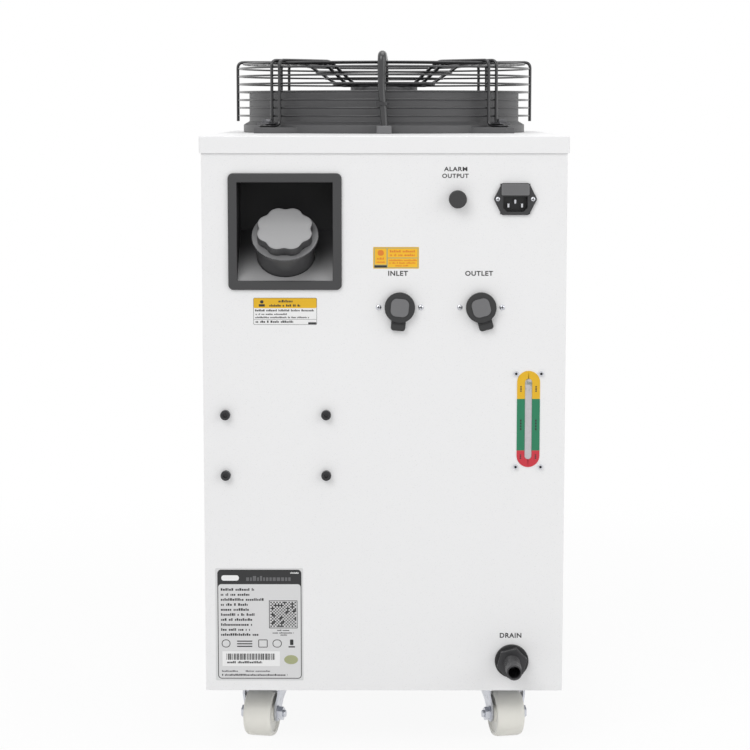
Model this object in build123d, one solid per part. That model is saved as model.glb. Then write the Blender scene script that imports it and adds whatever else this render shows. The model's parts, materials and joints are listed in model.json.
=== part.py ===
from build123d import *
import os
from math import pi, radians, sqrt, tan

# Recirculating chiller on castors, with a guarded roof fan.
# Millimetres, +Z up, +X to the right seen from the service side, which faces -Y.
# The control side faces +Y. The pieces are drawn about the cabinet's centre line,
# then moved along Y so that the origin lies on the floor at the middle of the whole.

# Cabinet
LID_WIDTH = 380.0
LID_DEPTH = 590.0
LID_SKIRT = 17.5
LID_OVERHANG = 2.0
LID_EDGE_R = 1.5
SHEET = 1.2
BODY_BOTTOM = 64.6
PAN_RAISE = 2.8
PAN_SHEET = 1.5
PAN_FLANGE = 20.0
PANEL_RETURN = 14.0
OVERALL_HEIGHT = 740.0
FAN_RISE = 93.0
LOOSE = 0.3
HOLE_FIT = 0.1
SEAT_GAP = 0.2

# Louvres and intake slots
SLOT_WIDTH = 3.4
SLOT_PITCH = 13.0
SIDE_SLOT_LENGTH = 170.0
SIDE_SLOT_ROWS = 10
SIDE_SLOT_Y = 150.0
SIDE_SLOT_Z = 250.0
INTAKE_SLOT_LENGTH = 250.0
INTAKE_SLOT_ROWS = 16
INTAKE_SLOT_Z = 250.0

# Filler recess, neck and cap
FILLER_FROM_LEFT = 85.7
FILLER_DROP = 97.9
BEZEL_WIDTH = 117.0
BEZEL_HEIGHT = 120.0
BEZEL_PROUD = 3.0
BEZEL_CORNER_R = 5.5
RECESS_WIDTH = 98.4
RECESS_HEIGHT = 101.0
RECESS_DEPTH = 50.0
RECESS_WALL = 2.0
NECK_R = 30.0
NECK_BORE_R = 22.5
NECK_LENGTH = 27.0
NECK_TAIL = 40.0
NECK_RIM_R = 34.5
NECK_RIM_HEIGHT = 3.5
MOUTH_R = 25.8
MOUTH_HEIGHT = 7.3
SEAL_THICK = 1.0
CAP_R = 29.7
CAP_SKIRT = 8.6
CAP_ROOF = 2.8
CAP_LOBES = 8
CAP_SCOOP_R = 8.0
CAP_SCOOP_DEPTH = 2.6
CAP_LOBE_FILLET = 2.4
CAP_FIT = 0.4

# Water ports and their pull-out plugs
PORT_FROM_RIGHT = (171.9, 87.9)
PORT_DROP = 176.0
PORT_R = 14.0
PORT_BORE_R = 11.0
PORT_PROUD = 1.5
PORT_INSIDE = 31.0
PORT_PLATE = 3.0
PORT_PLATE_WIDTH = 56.0
PORT_PLATE_HEIGHT = 32.0
PORT_PLATE_R = 6.0
PLUG_FLANGE_R = 15.75
PLUG_FLANGE = 5.0
PLUG_STEM = 13.0
PLUG_HOLLOW = 16.0
PLUG_HOLLOW_R = 5.0
PLUG_HOLLOW_DEPTH = 14.0
PLUG_TAB_WIDTH = 15.0
PLUG_TAB_REACH = 24.0
PLUG_TAB_THICK = 4.0
PLUG_TAB_R = 3.0
PLUG_TURN = (-5.0, 15.0)

# Drain
DRAIN_FROM_RIGHT = 53.5
DRAIN_RISE = 32.3
DRAIN_R = 8.75
DRAIN_HOSE_R = 8.45
DRAIN_ROOT = 13.0
DRAIN_BORE_R = 6.0
DRAIN_PROUD = 50.0
DRAIN_INSIDE = 12.0
DRAIN_WASHER_R = 17.75
DRAIN_WASHER = 3.0
DRAIN_NUT_FLATS = 28.6
DRAIN_NUT = 9.0
DRAIN_NUT_TURN = -15.0

# Alarm socket
ALARM_FROM_RIGHT = 112.6
ALARM_DROP = 64.4
ALARM_R = 6.8
ALARM_PROUD = 9.0
ALARM_INSIDE = 14.0
ALARM_CAP_R = 9.15
ALARM_CAP_PROUD = 11.5
ALARM_CAP_ROOF = 2.2

# Fused power inlet
POWER_FROM_RIGHT = 53.4
POWER_DROP = 64.3
POWER_FLANGE_WIDTH = 44.6
POWER_FLANGE_HEIGHT = 32.7
POWER_FLANGE_FLAT = 28.0
POWER_FLANGE_R = 3.0
POWER_FLANGE = 2.6
POWER_BODY_WIDTH = 30.4
POWER_BODY_HEIGHT = 31.0
POWER_BODY_DEPTH = 32.0
SOCKET_WIDTH = 25.0
SOCKET_HEIGHT = 15.7
SOCKET_DROP = 5.1
SOCKET_CORNER = 4.0
SOCKET_DEPTH = 17.0
PIN_WIDTH = 2.0
PIN_HEIGHT = 4.0
PIN_LENGTH = 14.0
PIN_SPREAD = 7.0
SIDE_PIN_DROP = 1.6
MIDDLE_PIN_RISE = 2.4
DRAWER_WIDTH = 28.6
DRAWER_HEIGHT = 11.7
DRAWER_RISE = 9.75
DRAWER_R = 1.5
DRAWER_PROUD = 1.8
DRAWER_TRAY_WIDTH = 25.0
DRAWER_TRAY_HEIGHT = 8.4
DRAWER_TRAY_DEPTH = 24.0
DRAWER_WALL = 2.0
DRAWER_FRONT = 3.0
DRAWER_FLOOR = 3.0

# Level gauge
GAUGE_FROM_RIGHT = 38.1
GAUGE_RISE = 68.8
SCALE_WIDTH = 23.8
SCALE_HEIGHT = 101.0
SCALE_THICK = 0.5
WINDOW_WIDTH = 7.5
WINDOW_HEIGHT = 85.0
GLASS_WIDTH = 34.0
GLASS_HEIGHT = 110.0
GLASS_THICK = 11.0

# Bracket screws and the tank bracket behind them
BRACKET_SCREW_FROM_LEFT = (22.9, 127.7)
BRACKET_SCREW_RISE = (73.3, 9.6)
M6_HEAD_R = 5.1
M6_HEAD = 6.0
M6_SOCKET = 5.0
BRACKET_SHEET = 2.0
BRACKET_MARGIN = 10.0

# Water tank
TANK_SIDE_GAP = 11.8
TANK_HOSE_GAP = 22.1
TANK_DEPTH = 200.0
TANK_ABOVE_PUMP = 108.7
TANK_NOSE = 44.5
TANK_WALL = 3.0

# Roof fan
FAN_FROM_REAR = 203.0
FAN_LID_MARGIN = 29.0
SHROUD_WALL = 3.0
SHROUD_HEIGHT = 47.5
FAN_FLANGE_STEP = 7.0
FAN_FLANGE = 9.0
COLLAR_TAPER = 4.0
EAR_WIDTH = 28.0
BOLT_BEYOND_RIB = 12.3
EAR_THICK = 6.8
MOTOR_RISE = 5.8
MOTOR_FLANGE_R = 40.0
MOTOR_FLANGE = 4.4
MOTOR_R = 46.0
MOTOR_HEIGHT = 6.0
SHAFT_R = 5.0
SHAFT_LENGTH = 26.0
ROTOR_R = 46.0
ROTOR_HEIGHT = 36.0
ROTOR_EDGE = 4.0
BLADES = 5
BLADE_TIP_GAP = 5.0
BLADE_THICK = 2.4
BLADE_CAMBER_R = 140.0
BLADE_PITCH = 20.0
BLADE_ROOT_WIDTH = 44.0
BLADE_TIP_WIDTH = 84.0
BLADE_SWEEP = 8.0
BLADE_SINK = 3.0

# Fan guard
RING_BEYOND_SHROUD = 11.8
RING_WIRE = 2.2
RIB_WIRE = 3.6
WELD = 0.8
RING_SIDES = 24
SIDE_RINGS = 7
SIDE_FOOT_GAP = 12.77
SIDE_TOP_GAP = 7.7
TOP_RINGS = 4
CONE_RING_GAP = 11.6
TOP_RING_INSET = 11.0
CONE_R = 95.0
CONE_FOOT_R = 54.0
CONE_RINGS = 2
RIB_END_R = 31.0
RIB_CLIP = 4.0
RIB_FREE_GAP = 13.0
RIB_PAIR_GAP = 13.0
FOOT_BEYOND_BOLT = 0.7

# Guard clamps
CLAMP_LENGTH = 15.0
CLAMP_WIDTH = 19.0
CLAMP_NOSE = 6.5
CLAMP = 1.8
BOLT_HEAD_FLATS = 10.0
BOLT_HEAD = 4.0

# Motor cable
CABLE_D = 8.4
CABLE_SIDES = 8
CABLE_START_R = 23.0
CABLE_CREST = 2.5
CABLE_DIP = 14.5
CABLE_RISE_BEND = 14.0
CABLE_DIP_BEND = 60.0
CABLE_GAP = 0.15
GROMMET_WIDTH = 17.0
GROMMET_DEPTH = 18.0
GROMMET_HEIGHT = 9.0
GROMMET_CORNER_R = 3.0
TIE_RISE = 24.4
TIE_HEIGHT = 4.0
TIE_BAND = 1.3

# Controller, keys and power rocker on the control side
CONTROL_DROP = 87.0
CONTROL_WIDTH = 150.0
CONTROL_HEIGHT = 62.0
CONTROL_PROUD = 6.0
CONTROL_CORNER_R = 4.0
CONTROL_BODY_WIDTH = 130.0
CONTROL_BODY_HEIGHT = 48.0
CONTROL_BODY_DEPTH = 28.0
DISPLAY_X = 32.0
DISPLAY_WIDTH = 62.0
DISPLAY_HEIGHT = 30.0
DISPLAY_DEPTH = 1.2
KEYS = 4
KEY_SIZE = 11.0
KEY_PITCH = 16.0
KEY_FIRST_X = -12.0
KEY_PROUD = 1.6
KEY_DEPTH = 4.0
KEY_TRAVEL = 1.0
KEY_CHAMFER = 0.8
ROCKER_X = -128.0
ROCKER_FRAME_WIDTH = 24.0
ROCKER_FRAME_HEIGHT = 34.0
ROCKER_FRAME_PROUD = 2.0
ROCKER_WIDTH = 15.0
ROCKER_HEIGHT = 25.0
ROCKER_WALL = 2.5
ROCKER_DEPTH = 16.0
ROCKER_TILT = 8.0
ROCKER_CREST = 2.9
ROCKER_DISH = 1.7
ROCKER_END_GAP = 1.2
ROCKER_SIDE_GAP = 0.2
ROCKER_PIVOT_DEPTH = 3.0
ROCKER_PIVOT_R = 2.0
ROCKER_PIVOT_IN = 1.2
ROCKER_BACK = 6.0
ROCKER_BACK_STEP = 3.0

# Castors
CASTOR_SIDE_INSET = 59.3
CASTOR_END_INSET = 71.0
CASTOR_TRAIL = 16.0
CASTOR_TURN = ((-12.0, 12.0), (9.0, -7.0))
PLATE_SIZE = 62.0
RACE_R = 21.0
RACE_HEIGHT = 4.3
FORK_SHEET = 2.4
FORK_TOP_WIDTH = 41.0
FORK_TOP_DEPTH = 36.0
FORK_EYE_R = 9.0
FORK_KNEE = 14.0
FORK_ANKLE = 25.0
KINGPIN_R = 4.0
KINGPIN_NUT_FLATS = 13.0
KINGPIN_NUT = 3.0
WHEEL_R = 25.0
WHEEL_WIDTH = 30.0
WHEEL_SHOULDER = 6.0
WHEEL_SHOULDER_DROP = 2.2
WHEEL_SIDE_GAP = 0.6
AXLE_R = 4.0
AXLE_FIT = 0.06
AXLE_HEAD_FLATS = 12.0
AXLE_HEAD = 4.0
AXLE_NUT_FLATS = 13.0
AXLE_NUT = 6.0

# Refrigeration and water circuit inside
CONDENSER_SIDE_GAP = 36.8
CONDENSER_HEADROOM = 30.1
CONDENSER_THICK = 44.0
CONDENSER_BEHIND = 14.0
FIN_GROOVES = 5
FIN_GROOVE = 4.0
FIN_GROOVE_HEIGHT = 8.0
FIN_MARGIN = 12.0
COMPRESSOR_X = -85.0
COMPRESSOR_Y = 60.0
COMPRESSOR_R = 62.0
COMPRESSOR_HEIGHT = 240.0
COMPRESSOR_FOOT = 8.0
COMPRESSOR_DOME = 16.0
COMPRESSOR_CROWN_R = 34.0
COMPRESSOR_FOOT_R = 84.0
ACCUMULATOR_R = 18.0
ACCUMULATOR_HEIGHT = 130.0
ACCUMULATOR_RISE = 30.0
ACCUMULATOR_GAP = 3.0
STRAP_RISE = 60.0
STRAP_HEIGHT = 12.0
STRAP_WIDTH = 10.0
EVAPORATOR_X = 97.0
EVAPORATOR_Y = 45.0
EVAPORATOR_WIDTH = 76.0
EVAPORATOR_DEPTH = 50.0
EVAPORATOR_HEIGHT = 230.0
EVAPORATOR_CORNER_R = 9.0
EVAPORATOR_PORT_DROP = 30.0
PUMP_SIDE_GAP = 6.8
PUMP_BEHIND_FACE = 105.0
PUMP_RISE = 58.0
VOLUTE_R = 50.0
VOLUTE_WIDTH = 44.0
PUMP_MOTOR_R = 42.0
PUMP_MOTOR_LENGTH = 76.0
PUMP_FOOT_WIDTH = 70.0
PUMP_FOOT_FRONT = 8.0
PUMP_FOOT_BACK = 10.0
DRIER_R = 13.0
DRIER_LENGTH = 60.0
DRIER_BEHIND = 35.0
DRIER_RISE = 60.0
HOSE_R = 8.0
THIN_HOSE_R = 4.0
TUBE_R = 4.5
TUBE_SIDES = 6
DISCHARGE_RISE = 70.0
DISCHARGE_BEND = 25.0
SUCTION_BEND = 14.0
PUMP_INLET_BESIDE = 24.0
PUMP_INLET_BEND = 18.0
DELIVERY_RISE = 105.0
DELIVERY_BEND = 25.0
SUPPLY_TURN = 45.0
SUPPLY_BEND = 24.0
GAUGE_HOSE_DEPTH = 55.0
GAUGE_HOSE_SPREAD = 38.0
GAUGE_BEND = 16.0
DRAIN_HOSE_BESIDE = 55.0
DRAIN_HOSE_GAP = 1.0
DRAIN_BEND = 14.0

# Levels and faces worked out from the sizes above
LID_TOP = OVERALL_HEIGHT - FAN_RISE
BODY_WIDTH = LID_WIDTH - 2 * LID_OVERHANG
BODY_DEPTH = LID_DEPTH - 2 * LID_OVERHANG
FACE_Y = -BODY_DEPTH / 2
REAR_Y = BODY_DEPTH / 2
INNER_FACE_Y = FACE_Y + SHEET
INNER_REAR_Y = REAR_Y - SHEET
INNER_X = BODY_WIDTH / 2 - SHEET
PANEL_TOP = LID_TOP - SHEET
PAN_BOTTOM = BODY_BOTTOM + PAN_RAISE
PAN_FLOOR = PAN_BOTTOM + PAN_SHEET
LEFT_X = -BODY_WIDTH / 2
RIGHT_X = BODY_WIDTH / 2

# Places on the service and control faces
FILLER_X = LEFT_X + FILLER_FROM_LEFT
FILLER_Z = LID_TOP - FILLER_DROP
PORT_X = tuple(RIGHT_X - inset for inset in PORT_FROM_RIGHT)
PORT_Z = LID_TOP - PORT_DROP
DRAIN_X = RIGHT_X - DRAIN_FROM_RIGHT
DRAIN_Z = BODY_BOTTOM + DRAIN_RISE
ALARM_X = RIGHT_X - ALARM_FROM_RIGHT
ALARM_Z = LID_TOP - ALARM_DROP
POWER_X = RIGHT_X - POWER_FROM_RIGHT
POWER_Z = LID_TOP - POWER_DROP
GAUGE_X = RIGHT_X - GAUGE_FROM_RIGHT
CONTROL_Z = LID_TOP - CONTROL_DROP

RECESS_TOP = FILLER_Z + RECESS_HEIGHT / 2
RECESS_BOTTOM = FILLER_Z - RECESS_HEIGHT / 2
RECESS_BACK_Y = FACE_Y + RECESS_DEPTH
RECESS_STEP_Z = RECESS_BOTTOM + RECESS_DEPTH
NECK_PLANE = Plane(
    origin=(FILLER_X, FACE_Y + RECESS_DEPTH / 2, RECESS_BOTTOM + RECESS_DEPTH / 2),
    x_dir=(1, 0, 0),
    z_dir=(0, -1, 1),
)
RIM_TOP = NECK_LENGTH + NECK_RIM_HEIGHT
MOUTH_TOP = RIM_TOP + MOUTH_HEIGHT
SEAL_BASE = MOUTH_TOP + SEAT_GAP
CAP_CEILING = SEAL_BASE + SEAL_THICK + SEAT_GAP
CAP_TOP = CAP_CEILING + CAP_ROOF
CAP_BASE = CAP_CEILING - CAP_SKIRT

FAN_Y = REAR_Y - FAN_FROM_REAR
SHROUD_R = LID_WIDTH / 2 - FAN_LID_MARGIN
SHROUD_BORE_R = SHROUD_R - SHROUD_WALL
FAN_FLANGE_R = SHROUD_R + FAN_FLANGE_STEP
RING_R = SHROUD_R + RING_BEYOND_SHROUD
SHROUD_TOP = LID_TOP + SHROUD_HEIGHT
EAR_TOP = LID_TOP + EAR_THICK
GUARD_TOP = OVERALL_HEIGHT - CABLE_D - CABLE_GAP
RIB_TOP_Z = GUARD_TOP - RIB_WIRE / 2
RIB_R = RING_R + (RING_WIRE + RIB_WIRE) / 2 - WELD
RIB_FREE_END = LID_TOP + RIB_FREE_GAP
EAR_REACH = RIB_R + RIB_WIRE / 2 + BOLT_BEYOND_RIB
FOOT_REACH = EAR_REACH + FOOT_BEYOND_BOLT + (RIB_PAIR_GAP + RIB_WIRE) / 2
FIRST_RING_Z = RIB_TOP_Z - SIDE_TOP_GAP
RING_PITCH = (FIRST_RING_Z - EAR_TOP - SIDE_FOOT_GAP) / (SIDE_RINGS - 1)
TOP_RING_R = RING_R - TOP_RING_INSET
TOP_RING_PITCH = (TOP_RING_R - CONE_R - CONE_RING_GAP) / (TOP_RINGS - 1)
TOP_RING_Z = RIB_TOP_Z - (RING_WIRE + RIB_WIRE) / 2 + WELD / 2
MOTOR_TOP = SHROUD_TOP + MOTOR_RISE
RIB_END_Z = MOTOR_TOP + RIB_WIRE / 2
MOTOR_BOTTOM = MOTOR_TOP - MOTOR_FLANGE - MOTOR_HEIGHT
ROTOR_TOP = MOTOR_BOTTOM - LOOSE
CABLE_Y = FAN_Y - RIB_R - RIB_WIRE / 2 - CABLE_GAP - CABLE_D / 2
CABLE_TOP_Z = OVERALL_HEIGHT - CABLE_D / 2
GROMMET_TOP = LID_TOP + GROMMET_HEIGHT
TIE_Z = GROMMET_TOP + TIE_RISE

TANK_TOP = NECK_PLANE.origin.Z - (NECK_TAIL / sqrt(2)) + TANK_NOSE / 2
PUMP_Z = PAN_FLOOR + PUMP_RISE
TANK_BOTTOM = PUMP_Z + VOLUTE_R + TANK_ABOVE_PUMP
TANK_FRONT_Y = NECK_PLANE.origin.Y + (NECK_TAIL / sqrt(2)) - TANK_NOSE / 2
TANK_BACK_Y = TANK_FRONT_Y + TANK_DEPTH
TANK_LEFT = TANK_SIDE_GAP - INNER_X
TANK_RIGHT = PORT_X[1] - HOSE_R - TANK_HOSE_GAP
GAUGE_Z = TANK_BOTTOM + GAUGE_RISE
BRACKET_SCREW_X = tuple(LEFT_X + inset for inset in BRACKET_SCREW_FROM_LEFT)
BRACKET_SCREW_Z = tuple(TANK_BOTTOM + rise for rise in BRACKET_SCREW_RISE)
PORT_END_Y = FACE_Y + PORT_INSIDE

CONDENSER_Y = INNER_REAR_Y - CONDENSER_BEHIND - CONDENSER_THICK
CONDENSER_TOP = CONTROL_Z - CONTROL_HEIGHT / 2 - CONDENSER_HEADROOM
EVAPORATOR_FRONT_Y = EVAPORATOR_Y - EVAPORATOR_DEPTH / 2
EVAPORATOR_BACK_Y = EVAPORATOR_Y + EVAPORATOR_DEPTH / 2
EVAPORATOR_PORT_Z = PAN_FLOOR + EVAPORATOR_HEIGHT - EVAPORATOR_PORT_DROP
ACCUMULATOR_X = COMPRESSOR_X + COMPRESSOR_R + ACCUMULATOR_R + ACCUMULATOR_GAP
ACCUMULATOR_LOW = PAN_FLOOR + COMPRESSOR_FOOT + ACCUMULATOR_RISE
DRIER_Y = EVAPORATOR_BACK_Y + DRIER_BEHIND
DRIER_Z = PAN_FLOOR + DRIER_RISE
PUMP_X = INNER_X - PUMP_SIDE_GAP - PUMP_MOTOR_LENGTH - VOLUTE_WIDTH
PUMP_Y = FACE_Y + PUMP_BEHIND_FACE

FRONT_REACH = FACE_Y - DRAIN_PROUD
REAR_REACH = REAR_Y + CONTROL_PROUD + KEY_PROUD
FRAME_Y = -(FRONT_REACH + REAR_REACH) / 2

CASTOR_X = BODY_WIDTH / 2 - CASTOR_SIDE_INSET
CASTOR_Y = BODY_DEPTH / 2 - CASTOR_END_INSET
FORK_TOP = BODY_BOTTOM - RACE_HEIGHT - LOOSE
FORK_UNDER = FORK_TOP - FORK_SHEET
LEG_INNER_X = WHEEL_WIDTH / 2 + WHEEL_SIDE_GAP


def block(x0, x1, y0, y1, z0, z1):
    """A box between two corners."""
    return Pos((x0 + x1) / 2, (y0 + y1) / 2, (z0 + z1) / 2) * Box(x1 - x0, y1 - y0, z1 - z0)


def rod(radius, start, axis, length):
    """A round rod that starts at a point and runs along an axis."""
    return extrude(Plane(origin=start, z_dir=axis) * Circle(radius), amount=length)


def rod_x(radius, x0, x1, y, z):
    return rod(radius, (x0, y, z), (1, 0, 0), x1 - x0)


def rod_y(radius, y0, y1, x, z):
    return rod(radius, (x, y0, z), (0, 1, 0), y1 - y0)


def rod_z(radius, z0, z1, x=0.0, y=0.0):
    return rod(radius, (x, y, z0), (0, 0, 1), z1 - z0)


def raised(sketch, y, amount):
    """A sketch drawn on the service face, X across and Z up, raised towards -Y from y."""
    face = Plane(origin=(0, y, 0), x_dir=(1, 0, 0), z_dir=(0, -1, 0))
    return extrude(face * sketch, amount=amount)


def capsule(width, height):
    """An upright slot shape."""
    return SlotOverall(height, width, rotation=90)


def turned(points):
    """A solid of revolution about Z from its half section of (radius, height) points."""
    return revolve(Plane.XZ * make_face(Polyline(*points, close=True)), Axis.Z)


def clipped(points, amount):
    """The points of a path whose inner corners are each cut by a short straight."""
    vectors = [Vector(*point) for point in points]
    line = [vectors[0]]
    for before, corner, after in zip(vectors, vectors[1:], vectors[2:]):
        line.append(corner + (before - corner).normalized() * amount)
        line.append(corner + (after - corner).normalized() * amount)
    return [tuple(v) for v in line + [vectors[-1]]]


def bend_radii(points, bends):
    """Each named bend radius, limited by the straight runs beside its corner."""
    line = [Vector(*point) for point in points]
    runs = [after - before for before, after in zip(line, line[1:])]
    room = [run.length * 0.45 for run in runs]
    room[0] *= 2
    room[-1] *= 2
    radii = []
    for i, bend in enumerate(bends):
        reach = tan(radians(runs[i].get_angle(runs[i + 1])) / 2)
        radii.append(min(bend, room[i] / reach, room[i + 1] / reach))
    return radii


def tube_run(points, bends, radius, sides=TUBE_SIDES):
    """A tube of flat-sided section along straight runs joined by tangent arcs."""
    path = FilletPolyline(*points, radius=bend_radii(points, bends))
    start = Plane(origin=path @ 0, z_dir=path % 0)
    section = RegularPolygon(radius, sides, major_radius=False, rotation=180 / sides)
    return sweep(start * section, path=path)


def slots(length, rows, z_middle):
    """A column of long narrow slots, as one sketch."""
    places = GridLocations(length, SLOT_PITCH, 1, rows)
    return Sketch() + [Pos(0, z_middle) * place * Rectangle(length, SLOT_WIDTH) for place in places]


# Cabinet pieces


def base_pan():
    outer = block(-INNER_X, INNER_X, INNER_FACE_Y, INNER_REAR_Y, PAN_BOTTOM, PAN_BOTTOM + PAN_FLANGE)
    inner = block(
        -INNER_X + PAN_SHEET,
        INNER_X - PAN_SHEET,
        INNER_FACE_Y + PAN_SHEET,
        INNER_REAR_Y - PAN_SHEET,
        PAN_FLOOR,
        PAN_BOTTOM + PAN_FLANGE + 1,
    )
    return outer - inner


def end_panel(holes, front):
    """A flat end panel with two returns that stand inside the side panels."""
    height = PANEL_TOP - BODY_BOTTOM
    plate = Pos(0, BODY_BOTTOM + height / 2) * Rectangle(BODY_WIDTH, height)
    panel = raised(plate - holes, INNER_FACE_Y if front else REAR_Y, SHEET)
    low, high = PAN_BOTTOM + PAN_FLANGE + LOOSE, PANEL_TOP - SHEET - LOOSE
    y0 = INNER_FACE_Y if front else INNER_REAR_Y - PANEL_RETURN
    for side in (-1, 1):
        outer_x = side * INNER_X
        inner_x = outer_x - side * SHEET
        panel += block(min(outer_x, inner_x), max(outer_x, inner_x), y0, y0 + PANEL_RETURN, low, high)
    return panel


def service_panel():
    recess = Pos(FILLER_X, FILLER_Z - RECESS_WALL / sqrt(2)) * Rectangle(
        RECESS_WIDTH + 2 * RECESS_WALL + LOOSE, RECESS_HEIGHT + 4 * RECESS_WALL
    )
    power = Pos(POWER_X, POWER_Z) * Rectangle(POWER_BODY_WIDTH + LOOSE, POWER_BODY_HEIGHT + LOOSE)
    holes = recess + power
    holes += Pos(GAUGE_X, GAUGE_Z) * capsule(WINDOW_WIDTH, WINDOW_HEIGHT)
    for x in PORT_X:
        holes += Pos(x, PORT_Z) * Circle(PORT_R + HOLE_FIT)
    holes += Pos(DRAIN_X, DRAIN_Z) * Circle(DRAIN_R + HOLE_FIT)
    holes += Pos(ALARM_X, ALARM_Z) * Circle(ALARM_R + HOLE_FIT)
    return end_panel(holes, front=True)


def control_panel():
    holes = slots(INTAKE_SLOT_LENGTH, INTAKE_SLOT_ROWS, INTAKE_SLOT_Z)
    holes += Pos(0, CONTROL_Z) * Rectangle(CONTROL_BODY_WIDTH + LOOSE, CONTROL_BODY_HEIGHT + LOOSE)
    holes += Pos(ROCKER_X, CONTROL_Z) * Rectangle(
        ROCKER_WIDTH + 2 * ROCKER_WALL + LOOSE, ROCKER_HEIGHT + 2 * ROCKER_WALL + LOOSE
    )
    return end_panel(holes, front=False)


def side_panel(side):
    """A side panel with an inward top return and two columns of slots."""
    web = block(INNER_X, INNER_X + SHEET, INNER_FACE_Y, INNER_REAR_Y, BODY_BOTTOM, PANEL_TOP)
    web += block(
        INNER_X - PANEL_RETURN,
        INNER_X,
        INNER_FACE_Y + LOOSE,
        INNER_REAR_Y - LOOSE,
        PANEL_TOP - SHEET,
        PANEL_TOP,
    )
    wall = Plane(origin=(INNER_X - 1, 0, 0), x_dir=(0, 1, 0), z_dir=(1, 0, 0))
    for y in (-SIDE_SLOT_Y, SIDE_SLOT_Y):
        column = slots(SIDE_SLOT_LENGTH, SIDE_SLOT_ROWS, SIDE_SLOT_Z)
        web -= extrude(wall * Pos(y, 0) * column, amount=SHEET + 2)
    return web if side > 0 else mirror(web, about=Plane.YZ)


def top_lid():
    outer = block(
        -LID_WIDTH / 2, LID_WIDTH / 2, -LID_DEPTH / 2, LID_DEPTH / 2, LID_TOP - LID_SKIRT, LID_TOP
    )
    outer = fillet(outer.edges().filter_by(Axis.Z), LID_EDGE_R)
    inner = block(
        -LID_WIDTH / 2 + SHEET,
        LID_WIDTH / 2 - SHEET,
        -LID_DEPTH / 2 + SHEET,
        LID_DEPTH / 2 - SHEET,
        LID_TOP - LID_SKIRT - 1,
        PANEL_TOP,
    )
    return outer - inner - rod_z(SHROUD_BORE_R, PANEL_TOP - 1, LID_TOP + 1, y=FAN_Y)


# Filler pieces


def filler_recess():
    """Bezel, side walls, back wall and slanted floor, moulded in one."""
    bezel = raised(
        Pos(FILLER_X, FILLER_Z) * RectangleRounded(BEZEL_WIDTH, BEZEL_HEIGHT, BEZEL_CORNER_R),
        FACE_Y,
        BEZEL_PROUD,
    )

    def well(grow):
        slant = grow * sqrt(2)
        points = (
            (FACE_Y - BEZEL_PROUD - 1 + grow, RECESS_TOP + grow),
            (RECESS_BACK_Y + grow, RECESS_TOP + grow),
            (RECESS_BACK_Y + grow, RECESS_STEP_Z + grow - slant),
            (FACE_Y, RECESS_BOTTOM - slant),
            (FACE_Y - BEZEL_PROUD - 1 + grow, RECESS_BOTTOM - slant),
        )
        profile = Plane.YZ * make_face(Polyline(*points, close=True))
        half = RECESS_WIDTH / 2 + grow
        return Pos(FILLER_X, 0, 0) * extrude(profile, amount=half, both=True)

    behind_face = block(
        FILLER_X - BEZEL_WIDTH,
        FILLER_X + BEZEL_WIDTH,
        FACE_Y,
        RECESS_BACK_Y + 2 * RECESS_WALL,
        RECESS_BOTTOM - BEZEL_HEIGHT,
        RECESS_TOP + BEZEL_HEIGHT,
    )
    shell = bezel + (well(RECESS_WALL) & behind_face)
    neck_hole = NECK_PLANE * rod_z(NECK_R + HOLE_FIT, -2 * RECESS_WALL, RECESS_WALL)
    return shell - well(0) - neck_hole


def filler_neck():
    half = (
        (NECK_BORE_R, -NECK_TAIL),
        (NECK_R, -NECK_TAIL),
        (NECK_R, NECK_LENGTH),
        (NECK_RIM_R, NECK_LENGTH),
        (NECK_RIM_R, RIM_TOP),
        (MOUTH_R, RIM_TOP),
        (MOUTH_R, MOUTH_TOP),
        (NECK_BORE_R, MOUTH_TOP),
    )
    return NECK_PLANE * turned(half)


def cap_seal():
    ring = Circle(MOUTH_R) - Circle(NECK_BORE_R)
    return NECK_PLANE * Pos(0, 0, SEAL_BASE) * extrude(ring, amount=SEAL_THICK)


def filler_cap():
    """A cup whose outline has scoops between its lobes."""
    scoops = PolarLocations(CAP_R + CAP_SCOOP_R - CAP_SCOOP_DEPTH, CAP_LOBES)
    outline = Circle(CAP_R) - [place * Circle(CAP_SCOOP_R) for place in scoops]
    outline = fillet(outline.vertices(), CAP_LOBE_FILLET)
    cup = extrude(Pos(0, 0, CAP_BASE) * outline, amount=CAP_TOP - CAP_BASE)
    cup -= rod_z(MOUTH_R + CAP_FIT, CAP_BASE - 1, CAP_CEILING)
    return NECK_PLANE * cup


# Ports, drain, alarm socket and power inlet


def water_port(x):
    """A bulkhead port with its screw plate behind the panel."""
    place = Pos(x, PORT_Z)
    plate = RectangleRounded(PORT_PLATE_WIDTH, PORT_PLATE_HEIGHT, PORT_PLATE_R)
    port = raised(place * plate, INNER_FACE_Y + PORT_PLATE, PORT_PLATE)
    port += rod_y(PORT_R, FACE_Y - PORT_PROUD, PORT_END_Y, x, PORT_Z)
    return port - rod_y(PORT_BORE_R, FACE_Y - PORT_PROUD - 1, PORT_END_Y + 1, x, PORT_Z)


def port_plug(x, turn):
    """A hollow plug with a round flange and a pull tab on one side."""
    seat = FACE_Y - PORT_PROUD - SEAT_GAP
    tab = Pos(0, -PLUG_TAB_REACH / 2) * RectangleRounded(PLUG_TAB_WIDTH, PLUG_TAB_REACH, PLUG_TAB_R)
    hollow = RectangleRounded(PLUG_HOLLOW, PLUG_HOLLOW, PLUG_HOLLOW_R)
    place = Pos(x, PORT_Z) * Rot(0, 0, turn)
    plug = raised(place * Circle(PLUG_FLANGE_R), seat, PLUG_FLANGE)
    plug += raised(place * tab, seat, PLUG_TAB_THICK)
    plug += rod_y(PORT_BORE_R - LOOSE, seat, seat + PLUG_STEM, x, PORT_Z)
    mouth = seat - PLUG_FLANGE
    return plug - raised(place * hollow, mouth + PLUG_HOLLOW_DEPTH, PLUG_HOLLOW_DEPTH + 1)


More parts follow.
